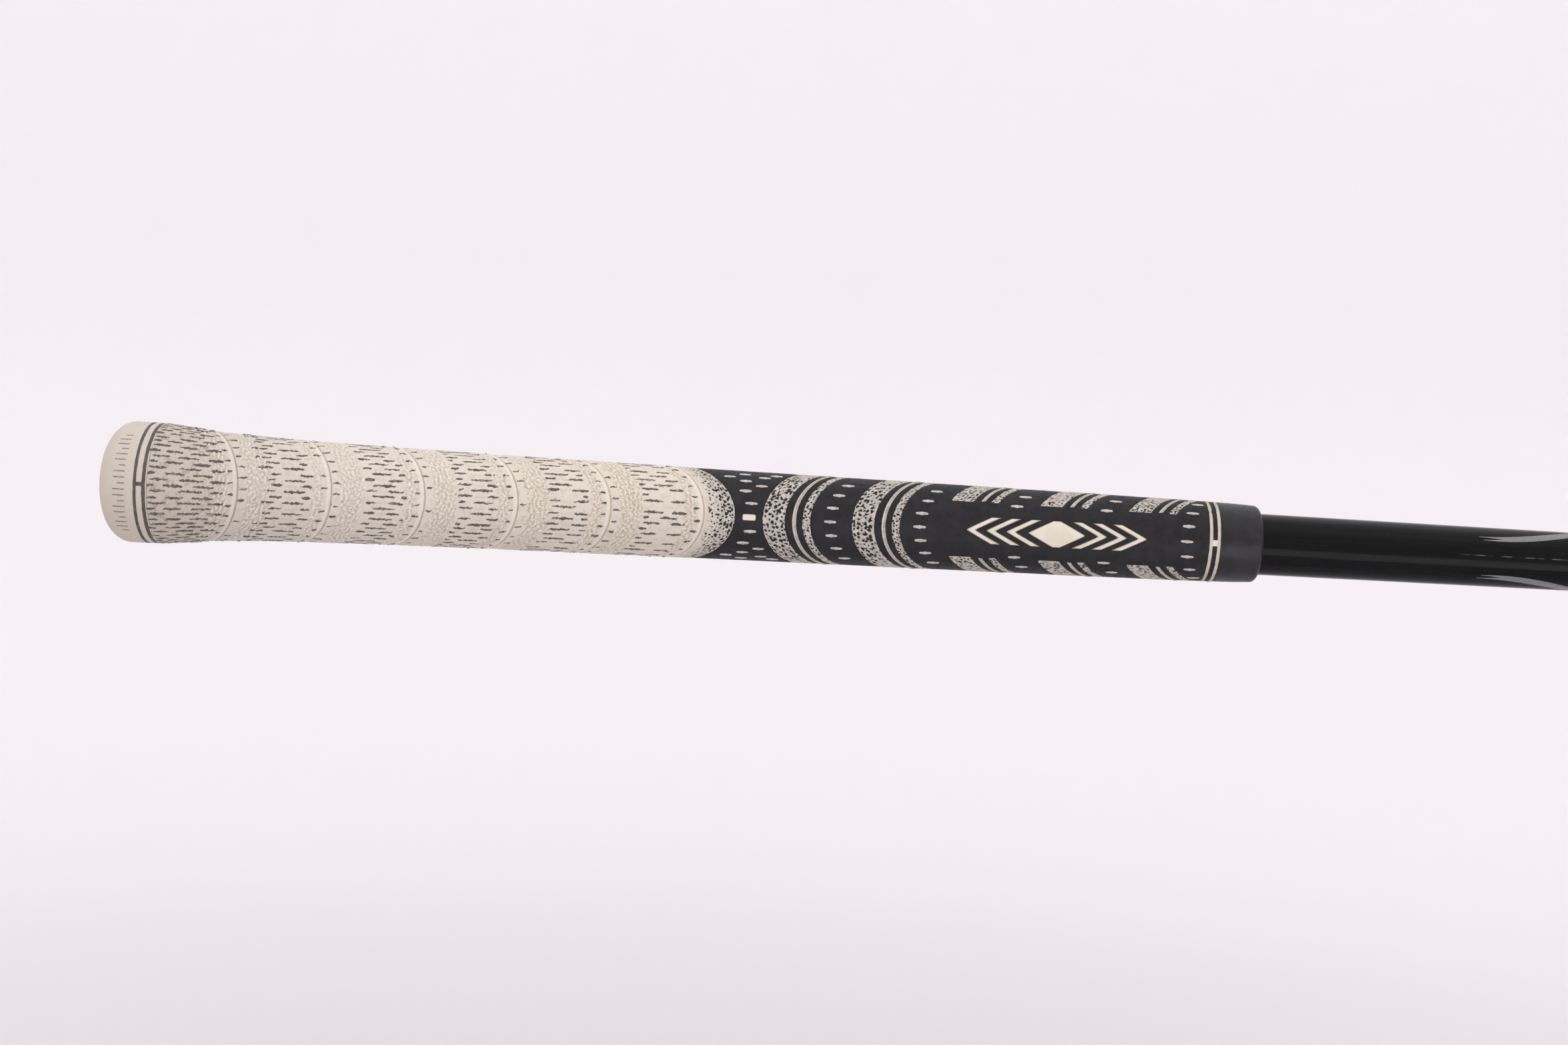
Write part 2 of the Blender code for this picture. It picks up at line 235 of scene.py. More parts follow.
def make_mesh(name, points, faces):
    """An object from points and faces; faces is a list of index arrays, one face to a row."""
    mesh = bpy.data.meshes.new(name)
    mesh.vertices.add(len(points))
    mesh.vertices.foreach_set("co", np.ascontiguousarray(points, np.float32).ravel())
    corners = np.concatenate([group.ravel() for group in faces]).astype(np.int32)
    sizes = np.concatenate([np.full(len(group), group.shape[1]) for group in faces])
    mesh.loops.add(len(corners))
    mesh.loops.foreach_set("vertex_index", corners)
    mesh.polygons.add(len(sizes))
    mesh.polygons.foreach_set("loop_start", (np.cumsum(sizes) - sizes).astype(np.int32))
    mesh.polygons.foreach_set("use_smooth", np.ones(len(sizes), bool))
    mesh.update(calc_edges=True)
    made = bpy.data.objects.new(name, mesh)
    bpy.context.scene.collection.objects.link(made)
    return made


def grid_quads(rows, columns, wrap_rows, wrap_columns):
    """Quads over a grid of points that may close up on itself in either direction."""
    index = np.arange(rows * columns).reshape(rows, columns)
    if wrap_rows:
        index = np.concatenate([index, index[:1]])
    if wrap_columns:
        index = np.concatenate([index, index[:, :1]], axis=1)
    quads = np.stack([index[:-1, :-1], index[1:, :-1], index[1:, 1:], index[:-1, 1:]], axis=-1)
    return quads.reshape(-1, 4)


def ring_faces(rows, columns, closed):
    """Faces over a grid whose rows run round a section, and whose columns close up or end in caps."""
    index = np.arange(rows * columns).reshape(rows, columns)
    caps = [] if closed else [index[:, 0][None], index[:, -1][::-1][None]]
    return [grid_quads(rows, columns, True, closed)] + caps


def section_piece(name, x, radius, angle, closed=True):
    """A closed solid from a grid of sections: rows run once round the section, outside first."""
    points = to_points(x, radius, angle)
    return make_mesh(name, points.reshape(-1, 3), ring_faces(*points.shape[:2], closed))


def set_value(piece, name, values):
    """Stores one number for each point, for the material to read."""
    layer = piece.data.attributes.new(name, "FLOAT", "POINT")
    filled = np.zeros(len(piece.data.vertices), np.float32)
    flat = np.asarray(values, np.float32).ravel()
    filled[: len(flat)] = flat
    layer.data.foreach_set("value", filled)


def sheet(name, s, angle, height, depth, closed, warp=along):
    """A thin closed piece: its top is height above the skin, and its back is depth below it."""
    top_x = warp(s[:, None], angle[None])
    top = skin(top_x) + height
    back_x = top_x[[-1, 0]]
    back = skin(back_x) - depth
    x = np.concatenate([top_x, back_x])
    radius = np.concatenate([top, back])
    return section_piece(name, x, radius, angle[None], closed)


def domes(name, outline, places, sizes, tilts, profile, lift=0.0):
    """Many small raised marks as one piece.

    outline holds the (along, round) points of one mark, about its middle, at full size. places are
    (x, angle) pairs, sizes (length, width, height) triples, and tilts turn a mark in the skin's plane.
    profile is a list of (share of the outline, share of the height) from the rim to the crown.
    """
    x, angle = np.array(places, float).T[..., None, None]
    length, width, height = np.array(sizes, float).T[..., None, None]
    tilts = np.array(tilts, float)[:, None, None]
    share, rise = np.array(profile, float).T[:, None, :, None]
    u = outline[:, 0] * share * length
    v = outline[:, 1] * share * width
    turned_u = u * np.cos(tilts) - v * np.sin(tilts)
    turned_v = u * np.sin(tilts) + v * np.cos(tilts)
    x = x + turned_u
    base = skin(x) + lift
    points = to_points(x, base + rise * height, angle + turned_v / base)
    count, rings, rim = points.shape[:3]
    quads = grid_quads(rings, rim, False, True)[:, FLIPPED]
    ends = np.array([np.arange(rim)[::-1], np.arange(rim) + (rings - 1) * rim])
    offsets = np.arange(count)[:, None, None] * (rings * rim)
    faces = [(quads[None] + offsets).reshape(-1, 4), (ends[None] + offsets).reshape(-1, rim)]
    return make_mesh(name, points.reshape(-1, 3), faces)


def oval(points, power=2.0):
    """An outline of half length and half width 1: a power above 2 makes it squarer."""
    turn = np.linspace(0, FULL_TURN, points, endpoint=False)
    c, s = np.cos(turn), np.sin(turn)
    return np.stack([np.sign(c) * abs(c) ** (2 / power), np.sign(s) * abs(s) ** (2 / power)], axis=-1)


# Materials.


class Look:
    """A Principled material that is built up from nodes."""

    def __init__(self, name):
        self.material = bpy.data.materials.new(name)
        self.material.use_nodes = True
        self.nodes = self.material.node_tree.nodes
        self.links = self.material.node_tree.links
        self.surface = self.nodes["Principled BSDF"]
        self.place = self.node("TexCoord", "Object")

    def put(self, socket, value):
        """Links another node's output to a socket, or sets the socket to a number or a colour."""
        if isinstance(value, bpy.types.NodeSocket):
            self.links.new(value, socket)
        elif isinstance(value, tuple) and len(value) == 3 and socket.type == "RGBA":
            socket.default_value = (*value, 1.0)
        else:
            socket.default_value = value

    def node(self, kind, output, inputs=(), **settings):
        """One output of a new node, which gets its settings first and then its (name, value) inputs."""
        made = self.nodes.new("ShaderNode" + kind)
        for name, value in settings.items():
            setattr(made, name, value)
        for name, value in inputs:
            self.put(made.inputs[name], value)
        return made.outputs[output]

    def axis(self, name):
        """The place along X, Y or Z, in metres."""
        return self.node("SeparateXYZ", name, [("Vector", self.place)])

    def noise(self, size, detail=3.0, stretch=(1, 1, 1)):
        """Noise with features of size, in millimetres, between 0 and 1."""
        scale = [part / (size * MM) for part in stretch]
        scaled = self.node("Mapping", "Vector", [("Scale", scale), ("Vector", self.place)])
        return self.node("TexNoise", "Fac", [("Scale", 1.0), ("Detail", detail), ("Vector", scaled)])

    def stored(self, name):
        """The numbers that set_value gave to the points of a piece."""
        return self.node("Attribute", "Fac", attribute_name=name)

    def spread(self, value, low, high, to_low=0.0, to_high=1.0):
        """value moved from the range low to high to the range to_low to to_high, and held there."""
        limits = zip(("From Min", "From Max", "To Min", "To Max"), (low, high, to_low, to_high))
        return self.node("MapRange", "Result", [*limits, ("Value", value)], interpolation_type="SMOOTHSTEP")

    def mix(self, share, first, second):
        """A colour that goes from first to second as share goes from 0 to 1."""
        inputs = [("Factor", share), ("A", first), ("B", second)]
        return self.node("Mix", "Result", inputs, data_type="RGBA")

    def sum(self, first, second, how="ADD"):
        """Two numbers added, or put together in another way."""
        return self.node("Math", "Value", [(0, first), (1, second)], operation=how)

    def layered(self, colour, *layers):
        """colour with tints over it, each as (size, detail, low, high, most, tint).

        A tint's share rises from 0 to most where noise of its size rises from low to high.
        """
        for size, detail, low, high, most, tint in layers:
            share = self.spread(self.noise(size, detail), low, high, 0.0, most)
            colour = self.mix(share, colour, tint)
        return colour

    def uneven(self, size, detail, least, most):
        """A roughness that wanders between least and most."""
        return self.spread(self.noise(size, detail), 0.3, 0.7, least, most)

    def bump(self, *layers):
        """Adds small relief; each layer is (noise, height in millimetres)."""
        below = []
        for value, height in layers:
            inputs = [("Distance", height * MM), ("Strength", 1.0), ("Height", value)]
            below = [("Normal", self.node("Bump", "Normal", inputs + below))]
        self.put(self.surface.inputs["Normal"], below[0][1])

    def finish(self, colour, roughness, specular=0.5):
        """Sets the surface and hands over the material."""
        self.put(self.surface.inputs["Base Color"], colour)
        self.put(self.surface.inputs["Roughness"], roughness)
        self.put(self.surface.inputs["Specular IOR Level"], specular)
        return self.material


def cream_rubber():
    """Off-white moulded rubber: mottled, with painted brown shade in the hollows of its pattern and real
    stains between the tufts, painted highlights on its crests, and painted shade towards the butt end.
    """
    look = Look("cream_rubber_moulded")
    colour = look.layered(
        (0.675, 0.62, 0.535),
        (1.6, 4.0, 0.35, 0.65, 1.0, (0.71, 0.66, 0.573)),
        (9.0, 2.0, 0.4, 0.75, 0.4, (0.70, 0.635, 0.55)),
        (0.35, 2.0, 0.68, 0.78, 0.35, (0.50, 0.42, 0.33)),
    )
    # Darker towards the butt end, where less light falls: painted shade.
    darkening = look.spread(look.axis("X"), BUTT, BUTT + 65 * MM, 1.0, 0.0)
    colour = look.mix(darkening, colour, (0.55, 0.495, 0.425))
    # The hollows take this brown as painted shade, warmer towards the joint; the same colour gives the stains
    # between the tufts and on the pads.
    aged = look.spread(look.axis("X"), BUTT + 55 * MM, BUTT + 130 * MM)
    shade_and_stain_colour = look.mix(aged, (0.22, 0.175, 0.125), (0.36, 0.24, 0.10))
    colour = look.mix(look.stored("hollow"), colour, shade_and_stain_colour)
    # Painted highlight on the high lumps of the knurl and along the ribs.
    colour = look.mix(look.stored("crest_highlight"), colour, (0.84, 0.785, 0.70))
    look.bump((look.noise(0.8, 3.0), 0.03), (look.noise(0.16, 2.0), 0.008))
    return look.finish(colour, look.uneven(1.2, 3.0, 0.58, 0.78), specular=0.4)


def black_rubber():
    """Matte black rubber with a fine moulded grain and a few pale dust specks, smoother at the mouth."""
    look = Look("black_rubber_moulded")
    colour = look.layered(
        (0.0095, 0.0090, 0.0112),
        (3.0, 4.0, 0.35, 0.65, 1.0, (0.0150, 0.0142, 0.0168)),
        (0.22, 2.0, 0.6, 0.8, 0.5, (0.042, 0.039, 0.043)),
        (0.5, 1.0, 0.76, 0.82, 0.4, (0.12, 0.11, 0.105)),
    )
    collar = look.stored("collar")
    smoother = look.sum(collar, 0.2, "MULTIPLY")
    roughness = look.sum(look.uneven(0.9, 3.0, 0.52, 0.66), smoother, "SUBTRACT")
    look.bump((look.noise(0.9, 3.0), 0.02), (look.noise(0.2, 2.0), 0.012))
    return look.finish(colour, roughness, specular=look.spread(collar, 0.0, 1.0, 0.24, 0.32))


def cream_paint():
    """Cream fill on the moulded texture: stained in places, greyer where it is worn, and darker in the
    crescents' hollows as painted shade.
    """
    look = Look("cream_fill")
    colour = look.layered((0.60, 0.55, 0.495), (0.9, 4.0, 0.36, 0.66, 1.0, (0.42, 0.382, 0.345)))
    colour = look.mix(look.stored("fresh"), colour, (0.64, 0.59, 0.51))
    colour = look.layered(colour, (1.4, 2.0, 0.56, 0.75, 0.5, (0.44, 0.385, 0.33)))
    patches = look.spread(look.noise(0.4, 3.0), 0.6, 0.74, 0.0, 0.6)
    worn = look.sum(look.stored("worn"), patches, "MAXIMUM")
    colour = look.mix(worn, colour, (0.16, 0.15, 0.138))
    look.bump((look.noise(0.35, 3.0), 0.03), (look.noise(0.12, 2.0), 0.01))
    return look.finish(colour, look.uneven(0.7, 2.0, 0.45, 0.7), specular=0.4)


def emblem_paint():
    """The smoother, warmer cream of the raised marks, thinner and browner along their edges, and darker on
    the mouth-side half of each mouth ring as painted shade.
    """
    look = Look("raised_mark_cream")
    colour = look.layered(
        (0.70, 0.64, 0.53),
        (3.0, 3.0, 0.4, 0.65, 1.0, (0.75, 0.69, 0.58)),
        (0.35, 3.0, 0.66, 0.76, 0.3, (0.42, 0.35, 0.26)),
    )
    colour = look.mix(look.stored("worn"), colour, (0.24, 0.20, 0.155))
    look.bump((look.noise(0.9, 3.0), 0.02), (look.noise(0.15, 2.0), 0.006))
    return look.finish(colour, look.uneven(0.8, 2.0, 0.45, 0.65), specular=0.4)


def cap_print():
    """The faded print on the cap."""
    look = Look("cap_print")
    colour = look.layered((0.20, 0.165, 0.145), (0.4, 3.0, 0.35, 0.7, 1.0, (0.36, 0.31, 0.27)))
    look.bump((look.noise(0.3, 2.0), 0.01))
    return look.finish(colour, 0.7)


def grey_paint():
    """The dark grey fill of the cap's rings."""
    look = Look("cap_grey_fill")
    colour = look.layered((0.065, 0.056, 0.056), (0.6, 3.0, 0.5, 0.75, 1.0, (0.15, 0.13, 0.122)))
    look.bump((look.noise(0.3, 2.0), 0.015))
    return look.finish(colour, look.uneven(0.5, 2.0, 0.5, 0.7))


def cord():
    """Dark grey-brown cotton cord with pale broken fibres."""
    look = Look("cord_tufts")
    fibre = look.noise(0.12, 3.0, stretch=(0.3, 1, 1))
    shade = look.mix(look.spread(fibre, 0.35, 0.7), (0.085, 0.074, 0.069), (0.17, 0.152, 0.14))
    pale = (0.3, 2.0, 0.66, 0.76, 0.5, (0.30, 0.26, 0.23))
    faint = (1.3, 2.0, 0.5, 0.72, 0.75, (0.34, 0.30, 0.265))
    look.bump((fibre, 0.06))
    return look.finish(look.layered(shade, pale, faint), 0.95, specular=0.15)


def shaft_gloss():
    """Gloss black lacquer with fine drawing lines, dust, and a thin broken scratch along its front."""
    look = Look("shaft_lacquer")
    lines = look.spread(look.noise(0.5, 3.0, stretch=(0.01, 1, 1)), 0.4, 0.7)
    colour = look.mix(lines, (0.0036, 0.0036, 0.0041), (0.0062, 0.0062, 0.0067))
    colour = look.layered(colour, (0.45, 1.0, 0.76, 0.82, 0.25, (0.10, 0.10, 0.10)))
    off_line = look.sum(look.sum(look.axis("Z"), 0.55 * MM, "SUBTRACT"), 0.0, "ABSOLUTE")
    scratch = look.spread(off_line, 0.02 * MM, 0.14 * MM, 1.0, 0.0)
    in_front = look.spread(look.axis("Y"), -5 * MM, -4 * MM, 1.0, 0.0)
    broken = look.spread(look.noise(1.6, 3.0, stretch=(0.5, 0.1, 0.1)), 0.36, 0.56, 0.0, 0.8)
    far_end = look.spread(look.axis("X"), SHAFT_STRIPE_START - 6 * MM, SHAFT_STRIPE_START + 1 * MM)
    for part in (in_front, broken, far_end):
        scratch = look.sum(scratch, part, "MULTIPLY")
    colour = look.mix(scratch, colour, (0.20, 0.185, 0.125))
    roughness = look.spread(look.noise(3.0, 3.0, stretch=(0.1, 1, 1)), 0.3, 0.7, 0.05, 0.1)
    look.bump((lines, 0.003))
    return look.finish(colour, roughness, specular=0.11)


def pale_stripe():
    """The grey film of the shaft's stripes."""
    look = Look("shaft_stripe")
    worn = look.spread(look.noise(0.6, 3.0), 0.4, 0.7)
    colour = look.mix(worn, (0.195, 0.195, 0.195), (0.145, 0.143, 0.139))
    return look.finish(colour, look.spread(worn, 0.0, 1.0, 0.25, 0.4))


def tape():
    """Tan paper tape with creases along the shaft and smears of glue."""
    look = Look("grip_tape_paper")
    fibres = look.noise(0.5, 4.0, stretch=(0.15, 1, 1))
    colour = look.mix(look.spread(fibres, 0.35, 0.65), (0.50, 0.38, 0.21), (0.62, 0.49, 0.29))
    colour = look.layered(colour, (4.0, 3.0, 0.5, 0.7, 0.6, (0.42, 0.31, 0.17)))
    roughness = look.spread(look.noise(3.0, 2.0), 0.35, 0.65, 0.35, 0.85)
    look.bump((fibres, 0.05), (look.noise(6.0, 2.0, stretch=(0.2, 1, 1)), 0.1))
    return look.finish(colour, roughness)


def paint_piece(piece, material, slot, body, *nodes):
    """Gives a finished piece its material, puts it under its body, and hides the CAD nodes it stands for."""
    piece.data.materials.append(material)
    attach(piece, body)
    if nodes:
        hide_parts(*nodes)


# The cream half.


def knurl_edges(s, start, stop, ragged):
    """1 inside a knurled band and 0 outside; ragged moves its edges about."""
    return plateau(s + ragged, start, stop, 0.35)


def knurl_zones():
    """The (start, stop) of each knurled band on the cream sleeve."""
    zones = [(place - (5.4 if place == RIBS[0] else 4.1), place - 2.1) for place in RIBS]
    return zones + [(place + 2.3, place + 7.0) for place in RIBS[:-1]]


def cells(s, arc, pitch, seed):
    """A crazed pattern of uneven cells: twice how far each point is from the border of its cell.

    s and arc are in millimetres, and the pattern closes round SLEEVE_ROUND.
    """
    random = np.random.default_rng(seed)
    round_count = round(SLEEVE_ROUND / pitch)
    across, down = arc / SLEEVE_ROUND * round_count, s / pitch
    column, row = np.floor(across).astype(int), np.floor(down).astype(int)
    first_row = row.min() - 1
    shape = (row.max() - first_row + 2, round_count)
    shift_down, shift_across = random.random(shape), random.random(shape)
    nearest, second = np.full(s.shape, 9.0), np.full(s.shape, 9.0)
    for step_down in (-1, 0, 1):
        for step_across in (-1, 0, 1):
            index = (row + step_down - first_row, (column + step_across) % round_count)
            gap_down = down - row - step_down - shift_down[index]
            gap_across = across - column - step_across - shift_across[index]
            gap = np.hypot(gap_down, gap_across)
            second = np.where(gap < nearest, nearest, np.minimum(second, gap))
            nearest = np.minimum(nearest, gap)
    return (second - nearest) * pitch


def upper_sleeve(material):
    """The cream sleeve: bands of crumpled nubs, ribs with their grooves, and stains between the tufts, with
    painted shade in its cracks, low lumps and grooves and painted highlights on its crests.
    """
    step, columns = 0.14, 560
    rows = np.arange(CAP_END, SLEEVE_JOINT, step)
    angle = round_angles(columns)
    s, turn = np.meshgrid(rows, angle, indexing="ij")
    size, steps = (len(rows), columns), (step, SLEEVE_ROUND / columns)
    worms = noise(*size, steps, 1.0, seed=3, spread=0.4, lean=1.0)
    patches = soft_noise(*size, steps, 0.9, seed=9)
    sway = [0.28 * soft_noise(*size, steps, 0.6, seed=seed) for seed in (4, 7)]
    border = cells(s + sway[0], turn % FULL_TURN / FULL_TURN * SLEEVE_ROUND + sway[1], 0.95, 12)
    crack = np.exp(-((border / 0.13) ** 2))
    nubs = noise(*size, steps, 0.62, seed=7, spread=0.5)
    ragged = 0.35 * soft_noise(*size, steps, 0.5, seed=5)
    height = 0.014 * soft_noise(*size, steps, 1.5, seed=6)
    knurled, rib, groove = np.zeros(size), np.zeros(size), np.zeros(size)
    for start, stop in knurl_zones():
        knurled += knurl_edges(s, start, stop, ragged)
    for place in RIBS:
        rib += plateau(s, place - 0.85, place - 0.45, 0.32)
        groove += np.exp(-(((s - place) / 0.12) ** 2))
    knurled = np.clip(knurled, 0, 1)
    lumps = worms + 0.75 * nubs
    height += knurled * (0.03 + 0.1 * np.tanh(1.5 * lumps) - 0.09 * crack)
    height += 0.07 * rib - 0.24 * groove
    x = along(s, turn)
    radius = skin(x) + height
    radius[0] -= 0.06
    ends = np.array([SPIGOT_RADIUS + 0.5, SPIGOT_RADIUS + 0.1])[:, None] + 0 * angle
    piece = section_piece(
        "upper_sleeve_rubber",
        np.concatenate([x, x[[-1, -1, 0, 0]]]),
        np.concatenate([radius, ends, ends[::-1]]),
        angle[None],
    )
    tufted = (1 - knurled) * (1 - smooth_step(rib, 0.0, 0.3)) * np.where(s < RIBS[0] - 5.0, 1.0, 0.45)
    stains = 0.34 * smooth_step(0.7 * worms + patches, 0.6, 2.0) + 0.17
    # The hollow values: painted shade in the knurl's cracks and low lumps, browner towards the joint, and in
    # the rib grooves, plus real stains between the tufts.
    knurl_shade = 0.36 + 0.2 * smooth_step(s, 60.0, 130.0)
    hollow = knurled * np.maximum(crack, 0.9 * smooth_step(-lumps, 0.2, 1.7)) * knurl_shade
    hollow += np.clip(groove, 0, 1) * 0.6 + tufted * stains
    set_value(piece, "hollow", hollow)
    # Painted highlight on the knurl's high lumps and on each rib.
    set_value(piece, "crest_highlight", knurled * smooth_step(lumps, 0.3, 1.5) * 0.5 + rib * 0.15)
    paint_piece(piece, material, "cream_rubber", "grip", "upper_sleeve")


def cap(material):
    """The cap: a turned section with its vent, a shallow ring in its end face, and its spigot."""
    ring = [(0.0, 2.3), (0.15, 2.5), (0.3, 2.9), (0.3, 4.3), (0.15, 4.7), (0.0, 4.9)]
    end_face = [(0.0, VENT_RADIUS + 0.25), *ring, (0.0, 5.2), (0.0, CAP_FACE_RADIUS)]
    turns = np.linspace(0, math.pi / 2, 56)[1:]
    edge = CAP_EDGE_LENGTH * (1 - np.cos(turns))
    straight = np.arange(CAP_EDGE_LENGTH + 0.2, CAP_END - 0.08, 0.12)
    outside = np.concatenate([edge, straight])
    height = np.zeros_like(outside)
    for start, stop in CAP_RINGS:
        height -= 0.12 * plateau(outside, start - 0.2, stop, 0.1)
    path = end_face + list(zip(outside, skin(outside) + height))
    foot = (skin(CAP_END) - 0.12, SPIGOT_RADIUS + 0.5, SPIGOT_RADIUS)
    path += [(CAP_END - 0.05, radius) for radius in foot]
    path += [(SPIGOT_END - 0.2, SPIGOT_RADIUS), (SPIGOT_END, SPIGOT_RADIUS - 0.2), (SPIGOT_END, 7.9)]
    path += [(SPIGOT_END - 0.2, BORE_RADIUS), (CAP_WALL + 0.4, BORE_RADIUS), (CAP_WALL, 7.2)]
    path += [(CAP_WALL, VENT_RADIUS + 0.2), (CAP_WALL - 0.2, VENT_RADIUS), (0.3, VENT_RADIUS)]
    x, radius = np.array(path).T
    angle = round_angles(360)
    waves = soft_noise(len(x), len(angle), (0.15, 0.24), 1.2, seed=8) * 0.012
    seam = 0.03 * np.exp(-((np.abs(np.cos(angle)) * 14 / 0.12) ** 2))
    shown = (radius > 9.0) & (x < CAP_END - 0.06)
    radius = radius[:, None] + np.where(shown[:, None], waves + seam[None], 0.0)
    piece = section_piece("butt_cap_rubber", x[:, None], radius, angle[None])
    paint_piece(piece, material, "cream_rubber", "grip", "butt_cap")


def cap_marks(material):
    """Thin printed bars round the front of the cap, every third one short."""
    places, sizes = [], []
    for number in range(-9, 10):
        short = number % 3 == 0
        places.append((6.5 + (0.55 if short else 0.0), math.radians(5.6 * number)))
        sizes.append((0.8 if short else 1.35, 0.16, 0.05))
    profile = [(1.0, -1.0), (1.0, 0.4), (0.9, 0.9), (0.6, 1.0)]
    piece = domes("cap_marks", oval(20, 5.0), places, sizes, np.zeros(len(places)), profile)
    paint_piece(piece, material, "grey_paint", "grip")


def cap_rings(material):
    """The dark grey fill of the two grooves round the cap, with uneven edges."""
    angle = round_angles(360)
    share = np.linspace(0, 1, 9)
    height = -0.03 * (2 * share[:, None] - 1) ** 4 + 0 * angle
    for number, (start, stop) in enumerate(CAP_RINGS, 1):
        edge = 0.02 * soft_noise(3, len(angle), (1.0, 0.24), 0.5, seed=20 + number)
        first, last = (start - 0.32, stop - 0.15) if number == 1 else (start - 0.1, stop + 0.1)

        def warp(part, _):
            return first + (last - first) * part + edge[[0]] * (1 - part) + edge[[1]] * part

        piece = sheet(f"cap_ring_{number}_fill", share, angle, height, 0.3, True, warp=warp)
        paint_piece(piece, material, "grey_paint", "grip", f"cap_ring_{number}")


def ring_link(name, rings, material, slot, node, width):
    """The short mark that joins a pair of rings at the front."""
    middle = (rings[0][1] + rings[1][0]) / 2
    half = (rings[1][0] - rings[0][1]) / 2 + 0.2
    profile = [(1.0, -2.0), (1.0, 0.2), (0.92, 0.8), (0.7, 1.0), (0.4, 1.0)]
    piece = domes(name, oval(28, 8.0), [(middle, 0.0)], [(half, width / 2, 0.07)], [0.0], profile)
    paint_piece(piece, material, slot, "grip", node)


# Cord.


def brick_row_count(s):
    """How many rows of tufts fit round the grip at s: an even number, about 1.35 mm apart."""
    return 2 * round(math.pi * skin(s) / 1.35)


# Tufts between one rib and the next, in millimetres past the rib, as (even rows, odd rows, pad in the
# odd rows). A tuft is (start, stop, chance).
TUFT_PATTERNS = [
    ([(5.3, 6.1, 0.7), (6.7, 8.4, 0.8), (10.7, 15.4, 0.97)], [(7.5, 10.2, 0.97), (14.6, 17.0, 0.97)], 12.3),
    ([(9.5, 14.5, 0.97), (16.1, 17.2, 0.6)], [(7.9, 10.2, 0.97), (13.2, 16.3, 0.97)], 11.8),
    ([(7.9, 9.1, 0.85), (11.0, 15.6, 0.97)], [(8.1, 10.9, 0.97), (14.6, 17.0, 0.97)], 12.7),
    ([(8.1, 13.1, 0.97), (15.0, 16.3, 0.8)], [(7.2, 9.6, 0.97), (12.9, 16.3, 0.97)], 11.3),
    ([(7.7, 11.7, 0.97), (14.2, 17.0, 0.97)], [(7.5, 8.9, 0.85), (11.2, 15.4, 0.5)], 12.9),
]


def tuft_zones():
    """The zones of tufts as (a place in the zone, width, even rows, odd rows, pads in each kind of row).

    A row lists its tufts as (start, stop, chance); a pad is a (middle, half length).
    """
    zones = [
        (
            19.5,
            0.33,
            [(12.9, 14.9, 0.97), (17.0, 21.0, 0.97), (23.3, 27.7, 0.97)],
            [(13.4, 17.3, 0.97), (20.1, 25.1, 0.97), (27.1, 30.4, 0.8)],
            [(16.0, 0.7), (22.2, 0.8)],
            [(18.8, 0.8), (26.1, 0.7)],
        )
    ]
    for number, rib in enumerate(RIBS):
        dots_after = [(rib + 0.5, rib + 1.8, 0.85)] if number < RIB_COUNT - 1 else []
        zones.append((rib, 0.25, dots_after, [(rib - 2.2, rib - 1.0, 0.8)], [], []))
    for rib, (even, odd, pad) in zip(RIBS, TUFT_PATTERNS):
        even, odd = ([(rib + low, rib + high, chance) for low, high, chance in row] for row in (even, odd))
        zones.append((rib + 11.5, 0.3, even, odd, [], [(rib + pad, 1.2)]))
    return zones


def tuft_dashes():
    """Every tuft as (s at its start, s at its end, angle, width), in rows that alternate like bricks."""
    random = np.random.default_rng(11)
    made = []
    for middle, width, even, odd, _, _ in tuft_zones():
        count = brick_row_count(middle)
        for row in range(count):
            angle = FULL_TURN * (row + random.uniform(-0.09, 0.09)) / count
            for start, stop, chance in odd if row % 2 else even:
                if random.random() < chance:
                    begin = start + random.uniform(-0.3, 0.3)
                    end = stop + random.uniform(-0.35, 0.35)
                    made.append((begin, end, angle, width * random.uniform(0.75, 1.15)))
    return made


def cord_ply(material):
    """Tufts like short lengths of twisted yarn, each a row of slanted lobes with a few frayed bits."""
    random = np.random.default_rng(12)
    places, sizes, tilts = [], [], []

    def add(s, angle, shift, length, width, height):
        if any(low - 0.5 < s < high + 0.5 for low, high in knurl_zones()):
            height += 0.13
        places.append((along(s, angle), angle + shift / skin(s)))
        sizes.append((length, width, height))
        tilts.append(random.uniform(0.15, 0.55))

    for start, stop, angle, width in tuft_dashes():
        length = max(stop - start, 0.7)
        count = max(2, round(length / 0.46))
        for lobe in range(count):
            share = (lobe + 0.5) / count
            taper = 1 - 0.5 * abs(2 * share - 1) ** 2.5
            s = start + length * share + random.uniform(-0.06, 0.06)
            half_width = width * taper * random.uniform(0.5, 1.4)
            shift, half_length = random.uniform(-0.1, 0.1), random.uniform(0.32, 0.5)
            add(s, angle, shift, half_length, half_width, random.uniform(0.04, 0.1))
        for _ in range(random.integers(2)):
            s = random.uniform(start - 0.4, start + length + 0.4)
            shift = random.choice([-1, 1]) * random.uniform(0.2, 0.45)
            add(s, angle, shift, random.uniform(0.08, 0.2), random.uniform(0.06, 0.11), 0.03)
    profile = [(0.9, -2.5), (1.0, 0.0), (0.85, 0.55), (0.5, 0.9), (0.2, 1.0)]
    piece = domes("cord_ply_tufts", oval(10), places, sizes, tilts, profile)
    paint_piece(piece, material, "black_cord", "grip", "cord_ply")


